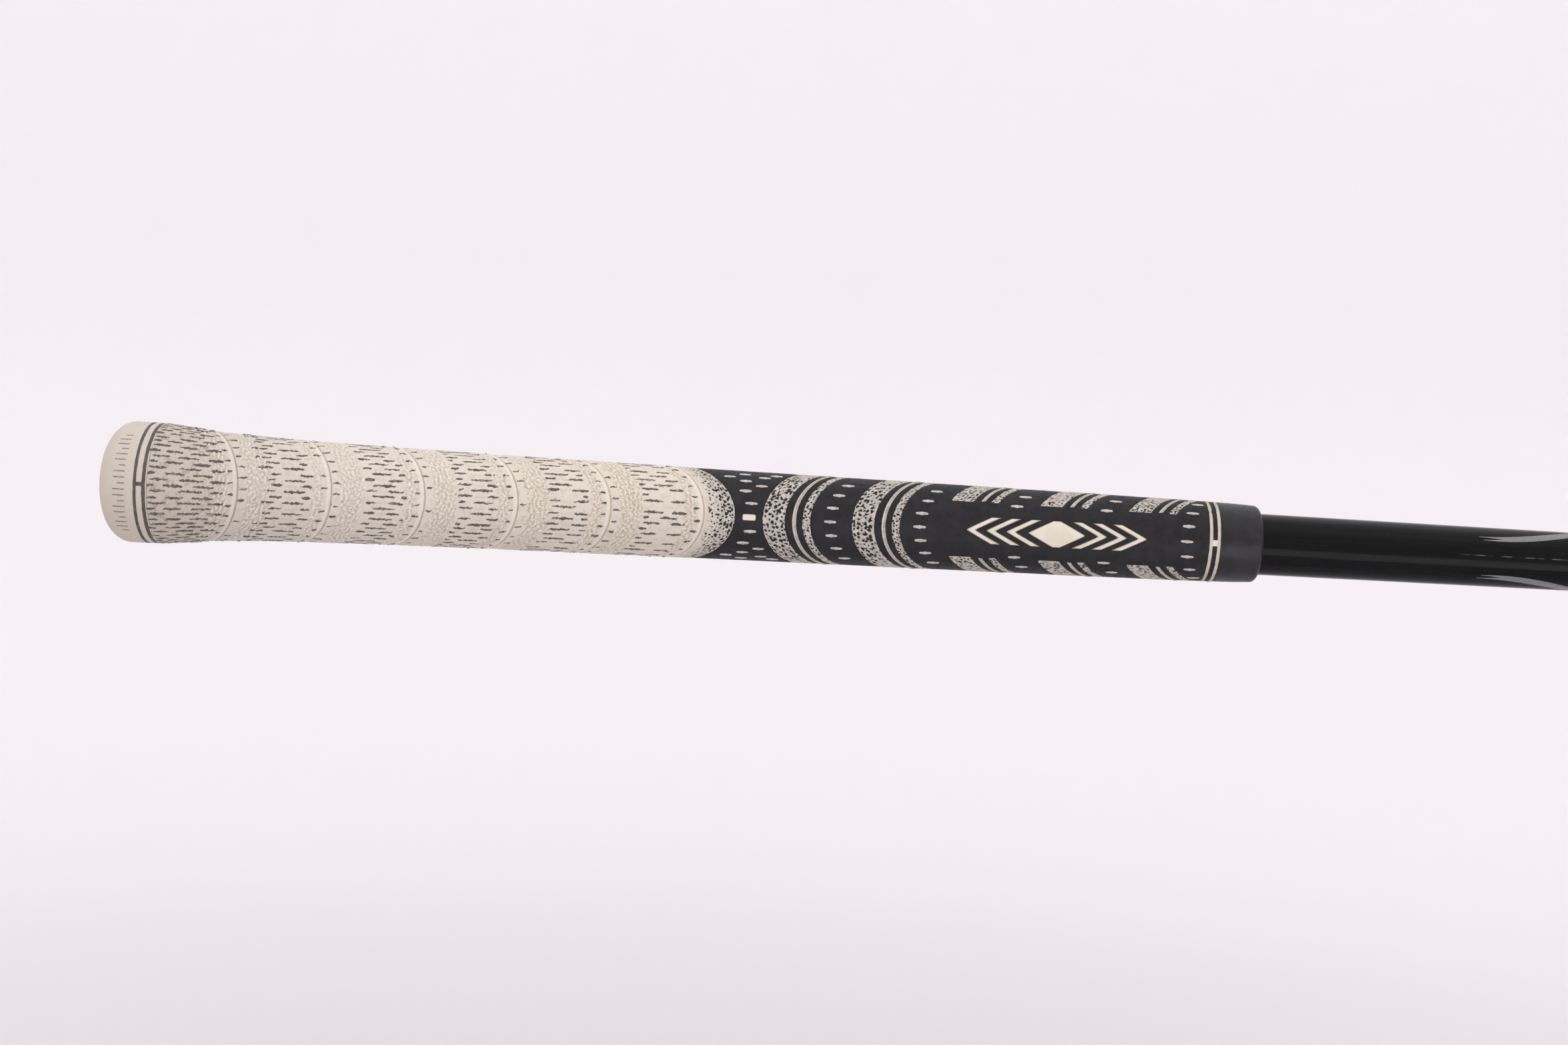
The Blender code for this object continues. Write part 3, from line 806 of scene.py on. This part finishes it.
def sleeve_pads(material):
    """Low moulded pads in the rows of tufts, between one tuft and the next."""
    places, sizes = [], []
    for middle, _, _, _, even, odd in tuft_zones():
        count = brick_row_count(middle)
        for row in range(count):
            angle = FULL_TURN * row / count
            for s, half in odd if row % 2 else even:
                places.append((along(s, angle), angle))
                sizes.append((half, 0.3, 0.035))
    profile = [(1.0, -2.0), (1.0, 0.1), (0.9, 0.7), (0.7, 1.0), (0.3, 1.0)]
    piece = domes("upper_sleeve_pads", oval(20, 5.0), places, sizes, np.zeros(len(places)), profile)
    set_value(piece, "hollow", np.random.default_rng(13).uniform(0.05, 0.3, len(piece.data.vertices)))
    paint_piece(piece, material, "cream_rubber", "grip")


# The black half.


def pit_field(number, s, pitch, size, edge):
    """How far each point of a band is inside the nearest pit, in millimetres, or minus how far outside.

    The pits are rounded triangles, turned at random, on a staggered lattice with some jitter. They
    shrink towards the band's edges, where edge is the distance inside the band.
    """
    random = np.random.default_rng(100 + number)
    angle = round_angles()
    radius = float(skin(s[0]))
    around, line_gap = round(FULL_TURN * radius / pitch), 0.87 * pitch
    lines = int((s[-1] - s[0]) / line_gap) + 4
    shift = random.uniform(-0.3, 0.3, (lines, around, 2))
    facing = random.uniform(0, FULL_TURN, (lines, around))
    scale = size * random.uniform(0.6, 1.3, (lines, around))
    u = np.repeat(((s - s[0]) / line_gap)[:, None], len(angle), axis=1)
    v = np.repeat((angle / FULL_TURN * around)[None], len(s), axis=0)
    best = np.full(u.shape, -9.0)
    for next_line in (-1, 0, 1):
        line = np.floor(u).astype(int) + next_line
        stagger = 0.5 * (line % 2)
        for next_place in (-1, 0, 1):
            place = np.floor(v - stagger).astype(int) + next_place
            which = line % lines, place % around
            off_s = (u - line - 0.5 - shift[which][..., 0]) * line_gap
            off_a = (v - place - 0.5 - stagger - shift[which][..., 1]) * pitch
            three = np.full(u.shape, -9.0)
            for corner in range(3):
                towards = facing[which] + FULL_TURN * corner / 3
                three = np.maximum(three, off_s * np.cos(towards) + off_a * np.sin(towards))
            best = np.maximum(best, scale[which] - 0.5 * np.hypot(off_s, off_a) - 0.5 * three)
    steps = (FINE_STEP, FULL_TURN * radius / len(angle))
    uneven = 0.07 * noise(*best.shape, steps, 0.75, seed=60 + number)
    return best + uneven - 0.22 * (1 - smooth_step(edge, 0.05, 0.6))


def bands():
    """Every knurled crescent, from the joint to the mouth: (CAD node, start, stop, interrupted)."""
    made = [("joint_crescent", SLEEVE_JOINT + 0.25, JOINT_INLAY_END, False)]
    for number, base in enumerate(SETS, 1):
        base -= 0.1
        made.append((f"crescent_wide_{number}", base, base + WIDE_BAND, number > 2))
        made.append((f"crescent_narrow_{number}", base + NARROW_BAND[0], base + NARROW_BAND[1], number > 2))
    return made


def open_share(angle, interrupted):
    """1 where a crescent is present at this angle, 0 in the front window, with a quick change at its edge."""
    if not interrupted:
        return np.ones_like(angle)
    return smooth_step(np.abs(from_front(angle)), WINDOW - 0.012, WINDOW + 0.012)


def lower_rows():
    """The rows of the black sleeve's grid: fine over each band and coarser between; also each band's rows."""
    rows, found = [], {}
    at = SLEEVE_JOINT + 0.1
    for name, start, stop, _ in bands():
        rows.append(np.linspace(at, start, max(2, round((start - at) / PLAIN_STEP)), endpoint=False))
        fine = np.linspace(start, stop, round((stop - start) / FINE_STEP), endpoint=False)
        found[name] = (sum(map(len, rows)), fine)
        rows.append(fine)
        at = stop
    lip_start = GRIP_END - LIP_RADIUS
    rows.append(np.linspace(at, lip_start, round((lip_start - at) / PLAIN_STEP), endpoint=False))
    rows.append(lip_start + LIP_RADIUS * np.sin(np.linspace(0, math.pi / 2, 9)))
    return np.concatenate(rows), found


def band_pits(found):
    """The pits of every band, by name."""
    made = {}
    for number, (name, start, stop, interrupted) in enumerate(bands()):
        s = found[name][1]
        edge = np.minimum(s - start, stop - s)[:, None]
        if interrupted:
            past_window = np.clip(np.abs(from_front(round_angles()))[None] - WINDOW, 0, None)
            edge = np.minimum(edge, past_window * BAND_RADIUS)
        if name == "joint_crescent":
            edge = (stop - s)[:, None]
            made[name] = pit_field(number, s, 0.95, 0.31, edge)
            made[name] -= 0.13 * (1 - smooth_step(s, start, start + 3.4))[:, None]
        elif "narrow" in name:
            made[name] = pit_field(number, s, 0.85, 0.25, edge + 0.2)
        elif interrupted:
            made[name] = pit_field(number, s, 0.9, 0.28, edge)
        else:
            made[name] = pit_field(number, s, 1.08, 0.36, edge)
    return made


def lower_sleeve(material, pits):
    """The black sleeve: shallow beds for the crescents, which rise a little where the cream has pits."""
    rows, found = lower_rows()
    angle = round_angles()
    s, turn = np.meshgrid(rows, angle, indexing="ij")
    steps = (0.25, FULL_TURN * 9.9 / COLUMNS)
    height = 0.01 * soft_noise(len(rows), COLUMNS, steps, 1.2, seed=31)
    for name, start, stop, interrupted in bands():
        first, fine = found[name]
        bed = plateau(rows, start + 0.1, stop - 0.1, 0.25)[:, None] * open_share(angle, interrupted)[None]
        height -= 0.13 * bed
        part = slice(first, first + len(fine))
        height[part] += bed[part] * 0.05 * smooth_step(pits[name], 0.0, 0.2)
    seam = 0.025 * np.exp(-((np.cos(turn) * 9.5 / 0.12) ** 2)) * smooth_step(s, 259.0, 260.0)
    x = along(s, turn)
    radius = skin(x) + height + seam
    radius[0] -= 0.3
    inside = [(GRIP_END, 8.0), (GRIP_END - 0.1, 7.6), (GRIP_END - 0.45, LIP_BORE_RADIUS)]
    inside += [(GRIP_END - 2.2, LIP_BORE_RADIUS), (GRIP_END - 4.0, BORE_RADIUS), (200.0, BORE_RADIUS)]
    inside += [(TONGUE_START + 0.2, BORE_RADIUS), (TONGUE_START, 7.8), (TONGUE_START, 8.3)]
    inside += [(TONGUE_START + 0.2, TONGUE_RADIUS), (120.0, TONGUE_RADIUS)]
    inner_x, inner_r = (np.repeat(part[:, None], COLUMNS, axis=1) for part in np.array(inside).T)
    foot = np.array([TONGUE_RADIUS, 9.0])[:, None] + 0 * angle
    piece = section_piece(
        "lower_sleeve_rubber",
        np.concatenate([x, inner_x, x[[0, 0]]]),
        np.concatenate([radius, inner_r, foot]),
        angle[None],
    )
    set_value(piece, "collar", smooth_step(s, MOUTH_RINGS[1][1] - 0.5, MOUTH_RINGS[1][1] + 1.5))
    paint_piece(piece, material, "black_rubber", "grip", "lower_sleeve")


def rounded_least(first, second, radius):
    """The smaller of two distances to an edge, with the corner between the two edges rounded off."""
    corner = radius - np.hypot(np.clip(radius - first, 0, None), np.clip(radius - second, 0, None))
    return np.minimum(np.minimum(first, second), corner)


def crescent_fill(name, start, stop, interrupted, pits, fine, material):
    """The cream on one crescent: a net that stands above the black bed and dips under it at each pit."""
    angle = round_angles()
    number = int(start)
    if interrupted:
        keep = np.abs(from_front(angle)) > WINDOW - 0.004
        angle, pits = angle[keep], pits[:, keep]
    if name == "joint_crescent":
        fine = np.concatenate([fine[0] - FINE_STEP * np.arange(5, 0, -1), fine])
        pits = np.concatenate([np.repeat(pits[:1], 5, axis=0), pits])
        start -= 5
    steps = (FINE_STEP, 0.12)
    rough = 0.05 * soft_noise(*pits.shape, steps, 0.35, seed=number)
    inside = np.minimum(fine[:, None] - start, stop - fine[:, None]) + rough - 0.1
    if interrupted:
        past_window = (np.abs(from_front(angle))[None] - WINDOW) * BAND_RADIUS
        inside = rounded_least(inside, past_window + rough, 0.55)
    net = np.clip(0.03 - 1.3 * pits, -0.35, 0.1)
    lumps = noise(*pits.shape, steps, 0.62, seed=90 + number)
    rim = np.clip(inside * 1.2, -0.5, 0.16) - 0.16
    height = net - 0.07 + rim + 0.03 * lumps
    piece = sheet(f"{name}_fill", fine, angle, height, 0.42, not interrupted)
    fresh = np.zeros(pits.shape)
    if name == "joint_crescent":
        fresh += (1 - smooth_step(fine, SLEEVE_JOINT + 0.4, SLEEVE_JOINT + 4.0))[:, None]
    # Darker where the cream dips towards each pit and on its low lumps: painted shade in these hollows.
    worn = smooth_step(0.1 - net, 0.0, 0.2) * 0.55 + 0.3 * smooth_step(-lumps, 0.2, 1.6)
    set_value(piece, "worn", worn * (1 - 0.35 * fresh))
    set_value(piece, "fresh", fresh)
    paint_piece(piece, material, "cream_paint", "grip", name)


def crescent_line(number, material):
    """The thin line of a set: a broad bright ridge beside a narrow duller one."""
    interrupted = number > 2
    base = SETS[number - 1] - 0.1
    start, stop = base + LINE_BAND[0], base + LINE_BAND[1]
    s = np.linspace(start, stop, 17)
    angle = round_angles(400)
    if interrupted:
        half = np.linspace(WINDOW + 0.01, math.pi, 160)
        angle = np.concatenate([half, FULL_TURN - half[::-1][1:]])
    share = np.linspace(0, 1, 17)[:, None]
    bright = np.sqrt(np.clip(1 - ((share - 0.34) / 0.32) ** 2, 0, None))
    dull = np.sqrt(np.clip(1 - ((share - 0.82) / 0.17) ** 2, 0, None))
    waver = 0.02 * soft_noise(3, len(angle), (1.0, 0.15), 0.8, seed=70 + number)[[0]]
    height = np.maximum(0.24 * bright, 0.17 * dull) - 0.06 + waver
    if interrupted:
        height = height - 0.3 * (1 - smooth_step(np.abs(from_front(angle))[None], WINDOW, WINDOW + 0.035))
    piece = sheet(f"crescent_line_{number}_fill", s, angle, height, 0.4, not interrupted)
    set_value(piece, "worn", np.broadcast_to(0.3 * plateau(share, 0.5, 0.7, 0.15), height.shape))
    paint_piece(piece, material, "cream_paint", "grip", f"crescent_line_{number}")


def mouth_rings(material):
    """Two rounded rings, a little broader than the grooves they lie in."""
    angle = round_angles(400)
    share = np.linspace(0, 1, 13)[:, None]
    for number, (start, stop) in enumerate(MOUTH_RINGS, 1):
        waver = 0.03 * soft_noise(3, len(angle), (1.0, 0.15), 0.8, seed=80 + number)[[0]]
        height = 0.16 * np.sqrt(np.clip(1 - (2 * share - 1) ** 2, 0, None)) - 0.04 + waver
        s = np.linspace(start + 0.08, stop + 0.48, 13)
        piece = sheet(f"mouth_ring_{number}_fill", s, angle, height, 0.3, True)
        # Greyer away from the front, and darker on the mouth-side half of each ring: painted shade on its
        # rounded profile.
        darkening = smooth_step(np.abs(from_front(angle)), 0.5, 1.3)
        set_value(piece, "worn", 0.32 + 0.2 * darkening + 0.2 * smooth_step(share, 0.5, 1.0))
        paint_piece(piece, material, "cream_paint", "grip", f"mouth_ring_{number}")


def tick_outline():
    """A slim bar with round ends and a small knob in the middle of each side, the lower one larger."""
    bar = oval(60, 4.5)
    knob = np.exp(-((bar[:, 0] / 0.1) ** 2))
    bar[:, 1] *= 1 - 0.2 * bar[:, 0] ** 4
    bar[:, 1] += np.where(bar[:, 1] < 0, -0.5, 0.3) * knob
    return bar


# Degrees from the front of the tick marks after each set of crescents, besides the one at the front.
TICK_DEGREES = [(18, 36.5, 55), (18, 36.5, 55), (18, 36.5, 55), (18, 38.5, 58.5), (21.7, 43.6, 64.5)]
# The ticks beside the alignment mark: (distance along the axis, degrees from the front).
HOURGLASS = [(150.6, 18), (149.1, 35), (149.0, 52), (148.7, 68)]
HOURGLASS += [(152.7, 44), (153.3, 61), (145.2, 60), (156.0, 68)]
QUARTERS = [(side, back) for side in (-1, 1) for back in (0, math.pi)]


def tick_places():
    """Where the tick marks are: an hourglass beside the alignment mark, and a row after each set."""
    made = []
    for x, degrees in HOURGLASS:
        made += [(x, side * math.radians(degrees) + back) for side, back in QUARTERS]
    for number, base in enumerate(SETS, 1):
        s = base + 15.5
        for degrees in (0, *TICK_DEGREES[number - 1]):
            for side, back in QUARTERS:
                blocked = number in (3, 4) and not back and degrees < 30
                if blocked or (degrees == 0 and side < 0):
                    continue
                angle = side * math.radians(degrees) + back
                made.append((along(s, angle), angle))
    return made


def tick_marks(material):
    """Every tick mark as one piece."""
    random = np.random.default_rng(15)
    places = tick_places()
    sizes = [(1.42 * random.uniform(0.94, 1.04), 0.31 * random.uniform(0.9, 1.1), 0.12) for _ in places]
    profile = [(1.0, -2.0), (1.0, 0.1), (0.93, 0.7), (0.78, 1.0), (0.5, 1.1), (0.2, 1.1)]
    tilts = random.uniform(-0.03, 0.03, len(places))
    piece = domes("tick_marks", tick_outline(), places, sizes, tilts, profile)
    set_value(piece, "worn", np.full(len(piece.data.vertices), 0.04))
    paint_piece(piece, material, "cream_paint", "grip")


def alignment_mark(material):
    """The raised bar that marks the front at the joint."""
    start, stop = ALIGNMENT_MARK
    profile = [(1.0, -1.5), (1.0, 0.1), (0.95, 0.7), (0.87, 1.0), (0.7, 1.02), (0.3, 1.02)]
    size = ((stop - start) / 2 - 0.05, 0.7, 0.16)
    piece = domes("alignment_mark_fill", oval(48, 6.0), [((start + stop) / 2, 0.0)], [size], [0.0], profile)
    paint_piece(piece, material, "cream_paint", "grip", "alignment_mark")


# The emblem: a lozenge between chevrons, each with soft shoulders.

EMBLEM_ANGLE = math.radians(18)
EMBLEM_POINT = 6.0
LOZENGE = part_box("emblem_lozenge")
EMBLEM_CENTRE = ((LOZENGE[0].x + LOZENGE[1].x) / 2 - BUTT) / MM
LOZENGE_TIP = (LOZENGE[1].x - LOZENGE[0].x) / 2 / MM - EMBLEM_POINT


def emblem_piece(node, first, second, material):
    """A raised piece between two pointed lines at offsets first and second from the emblem's centre."""
    across = np.linspace(0, 1, 45)
    angle = np.linspace(-EMBLEM_ANGLE, EMBLEM_ANGLE, 121)

    def warp(share, turn):
        point = EMBLEM_POINT * (1 - np.sqrt((turn / EMBLEM_ANGLE) ** 2 + 0.002))
        low = EMBLEM_CENTRE + first[0] * (first[1] + point)
        high = EMBLEM_CENTRE + second[0] * (second[1] + point)
        return low + (high - low) * share

    x = warp(across[:, None], angle[None])
    width = np.abs(x[-1] - x[0])[None]
    slant = 0.5
    from_side = np.minimum(across, 1 - across)[:, None] * width * slant
    from_end = (EMBLEM_ANGLE - np.abs(angle))[None] * BAND_RADIUS
    inside = np.minimum(from_side, from_end)
    rise = np.sqrt(np.clip(1 - (1 - np.clip(inside / 0.3, 0, 1)) ** 2, 0, None))
    height = 0.32 * rise - 0.05
    piece = sheet(f"{node}_raised", across, angle, height, 0.3, False, warp=warp)
    set_value(piece, "worn", 0.75 * (1 - smooth_step(inside, 0.02, 0.3)))
    paint_piece(piece, material, "cream_paint", "grip", node)


def emblem(material):
    emblem_piece("emblem_lozenge", (-1, LOZENGE_TIP), (1, LOZENGE_TIP), material)
    for side, end in ((-1, "cap"), (1, "mouth")):
        for number in (1, 2, 3):
            node = f"emblem_chevron_{end}_{number}"
            low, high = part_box(node)
            near, far = sorted(abs((edge - BUTT) / MM - EMBLEM_CENTRE) for edge in (low.x, high.x))
            inner, outer = (side, near), (side, far - EMBLEM_POINT)
            emblem_piece(node, *((outer, inner) if side < 0 else (inner, outer)), material)


# The shaft and its tape.


def shaft_radius(x):
    """The outside of the shaft, which tapers past SHAFT_TAPER_START."""
    return SHAFT_RADIUS - SHAFT_TAPER * np.clip(x - SHAFT_TAPER_START, 0, None)


def shaft(material):
    """The hollow butt of the shaft, with small chamfers at its two ends."""
    middle = np.linspace(20, 340, 65)
    outside = np.concatenate([[SHAFT_START, SHAFT_START + 0.25], middle, [SHAFT_END - 0.2, SHAFT_END]])
    radius = shaft_radius(outside)
    radius[[0, -1]] -= 0.2
    inside = outside[::-1]
    bore = shaft_radius(inside) - SHAFT_WALL
    bore[[0, -1]] += 0.1
    x = np.concatenate([outside, inside])[:, None]
    radius = np.concatenate([radius, bore])[:, None]
    piece = section_piece("shaft_butt_tube", x, radius, round_angles(240)[None])
    paint_piece(piece, material, "shaft_black", "shaft", "shaft_butt")


def stripe(name, x, low, high, material):
    """A strip of thin film on the shaft between two lines of angle, in degrees."""
    share = np.linspace(0, 1, 13)[:, None]
    angle = np.radians(low + (high - low) * share)
    top = shaft_radius(x) + 0.03 * (1 - (2 * share - 1) ** 6)
    back = np.broadcast_to(shaft_radius(x) - 0.1, (2, len(x)))
    points = to_points(x[None], np.concatenate([top, back]), np.concatenate([angle, angle[[-1, 0]]]))
    faces = ring_faces(*points.shape[:2], False)
    piece = make_mesh(name, points.reshape(-1, 3), [group[:, ::-1] for group in faces])
    paint_piece(piece, material, "cream_paint", "shaft")


def pinstripes(material):
    """On each side, two slim tips that start past the mouth, merge, and curve round the shaft as one."""
    for number, (begin, outer) in enumerate(((STRIPE_START, True), (STRIPE_START + 0.9, False)), 1):
        x = np.linspace(begin, SHAFT_END - 0.3, 70)
        low = 34.8 + 0.075 * (x - STRIPE_START - 4.8) ** 2
        high = 44.0 + 0.085 * (x - STRIPE_START) ** 1.9
        middle = (low + high) / 2
        growth = 0.3 + 0.8 * smooth_step(x, begin, begin + 6.5)
        if outer:
            near, far = high - (high - middle) * growth, high
        else:
            near, far = low, low + (middle - low) * growth
        stripe(f"shaft_stripe_above_{number}", x, near, far, material)
        stripe(f"shaft_stripe_below_{number}", x, -far, -near, material)


def grip_tape(material):
    """The tape, once round the shaft, with a crease here and there and its edges a little lifted."""
    half = math.radians(177)
    angle = np.linspace(-half, half, 200)
    x = np.linspace(TAPE_START, TAPE_END, 400)
    wrinkle = soft_noise(len(x), len(angle), (0.6, 0.23), 2.0, seed=51) * 0.012
    lift = 0.03 * smooth_step(np.abs(angle), half - 0.1, half)[None]
    outer = shaft_radius(x)[:, None] + (TAPE_RADIUS - SHAFT_RADIUS) + np.clip(wrinkle + lift, -0.05, 0.05)
    ends = x[[-1, 0]]
    inner = shaft_radius(ends)[:, None] + 0.03 + 0 * angle[None]
    x = np.concatenate([x, ends])[:, None]
    piece = section_piece("grip_tape_wrap", x, np.concatenate([outer, inner]), angle[None], False)
    paint_piece(piece, material, "tape_tan", "shaft", "grip_tape")


# The stage.

CAMERA_DISTANCE = 0.471
CAMERA_PLACE = 158.3
CAMERA_LIFT = math.radians(2.0)
CAMERA_ROLL = math.atan(0.0558)
CAMERA_BELOW = 1.08 * MM
CAMERA_LENS = 46.1

# Lamps: name, place and size in metres, power in watts, and the kind of surface they reach.
LAMPS = [
    ("key", (-0.32, -0.62, 0.62), (0.35, 0.3), 1.3, "both"),
    ("front", (0.1, -0.95, -0.02), (0.95, 0.3), 1.25, "diffuse"),
    ("sheen", (0.1, -0.45, -0.2), (1.1, 0.2), 1.05, "glossy"),
]
SKY_COLOUR = (1.0, 0.985, 0.995, 1.0)
SKY_STRENGTH = 1.27
FLOOR_HEIGHT = -0.32
FLOOR_RADIUS = 1.5
FLOOR_CURVE = 0.5
WALL_TOP = 1.6


def add_camera():
    """Square on to the grip's axis, two degrees above its front line, and rolled a little."""
    up = Vector((0, math.sin(CAMERA_LIFT), math.cos(CAMERA_LIFT)))
    back = Vector((0, -math.cos(CAMERA_LIFT), math.sin(CAMERA_LIFT)))
    axis = Vector((1, 0, 0))
    right = axis * math.cos(CAMERA_ROLL) + up * math.sin(CAMERA_ROLL)
    above = up * math.cos(CAMERA_ROLL) - axis * math.sin(CAMERA_ROLL)
    place = Vector((BUTT + CAMERA_PLACE * MM, 0, 0)) + back * CAMERA_DISTANCE - up * CAMERA_BELOW
    camera = bpy.data.objects.new("camera", bpy.data.cameras.new("camera"))
    camera.matrix_world = Matrix.Translation(place) @ Matrix((right, above, back)).transposed().to_4x4()
    camera.data.lens = CAMERA_LENS
    camera.data.sensor_width = 36.0
    camera.data.clip_start = 0.01
    bpy.context.scene.collection.objects.link(camera)
    bpy.context.scene.camera = camera


def add_light(name, place, size, power, seen_in):
    """A soft box that faces the object; seen_in is diffuse, glossy or both."""
    lamp = bpy.data.lights.new(name, "AREA")
    lamp.shape = "RECTANGLE"
    lamp.size, lamp.size_y = size
    lamp.energy = power
    made = bpy.data.objects.new(name, lamp)
    made.location = place
    made.rotation_euler = (-Vector(place)).to_track_quat("-Z", "Y").to_euler()
    made.visible_glossy = seen_in != "diffuse"
    made.visible_diffuse = seen_in != "glossy"
    bpy.context.scene.collection.objects.link(made)


def add_floor():
    """A pale floor that curves up into a wall all round, so that no edge shows, with painted shade in its
    middle under the grip.
    """
    turns = np.linspace(0, math.pi / 2, 17)[1:]
    bend = FLOOR_RADIUS - FLOOR_CURVE + FLOOR_CURVE * np.sin(turns)
    radius = np.concatenate([[0.02, 0.5, 1.0], bend, [FLOOR_RADIUS]])[:, None]
    rise = FLOOR_HEIGHT + FLOOR_CURVE * (1 - np.cos(turns))
    height = np.concatenate([np.full(3, FLOOR_HEIGHT), rise, [WALL_TOP]])[:, None]
    angle = round_angles(96)
    points = np.stack([radius * np.cos(angle), radius * np.sin(angle), height + 0 * angle], axis=-1)
    quads = grid_quads(len(radius), len(angle), False, True)[:, FLIPPED]
    middle = np.arange(len(angle))[::-1][None]
    floor = make_mesh("floor", points.reshape(-1, 3), [quads, middle])
    look = Look("pale_paper")
    distance = look.node("VectorMath", "Value", [(0, look.place)], operation="LENGTH")
    # Greyer in the middle, under the grip, and paler farther out: painted shade under the grip.
    far = look.spread(distance, 0.42, 1.55)
    shade = look.mix(look.noise(400.0, 2.0), (0.69, 0.67, 0.685), (0.71, 0.69, 0.705))
    floor.data.materials.append(look.finish(look.mix(far, shade, (0.94, 0.92, 0.935)), 0.95, specular=0.0))


def add_world():
    """Even light from all round."""
    world = bpy.data.worlds.new("soft_daylight")
    world.use_nodes = True
    background = world.node_tree.nodes["Background"]
    background.inputs["Color"].default_value = SKY_COLOUR
    background.inputs["Strength"].default_value = SKY_STRENGTH
    bpy.context.scene.world = world


def set_stage():
    """The floor, the light and the camera."""
    bpy.context.scene.view_settings.view_transform = "Standard"
    add_floor()
    add_world()
    for lamp in LAMPS:
        add_light(*lamp)
    add_camera()


def build():
    """Every visible piece, each with its material."""
    cream, black = cream_rubber(), black_rubber()
    fill, raised, grey = cream_paint(), emblem_paint(), grey_paint()
    upper_sleeve(cream)
    cap(cream)
    cap_marks(cap_print())
    cap_rings(grey)
    ring_link("cap_ring_link_fill", CAP_RINGS, grey, "grey_paint", "cap_ring_link", 0.9)
    cord_ply(cord())
    sleeve_pads(cream)
    found = lower_rows()[1]
    pits = band_pits(found)
    lower_sleeve(black, pits)
    for name, start, stop, interrupted in bands():
        crescent_fill(name, start, stop, interrupted, pits[name], found[name][1], fill)
    for number in range(1, 6):
        crescent_line(number, fill)
    mouth_rings(raised)
    ring_link("mouth_ring_link_fill", MOUTH_RINGS, raised, "cream_paint", "mouth_ring_link", 1.4)
    tick_marks(fill)
    alignment_mark(raised)
    emblem(raised)
    shaft(shaft_gloss())
    pinstripes(pale_stripe())
    grip_tape(tape())


build()
set_stage()
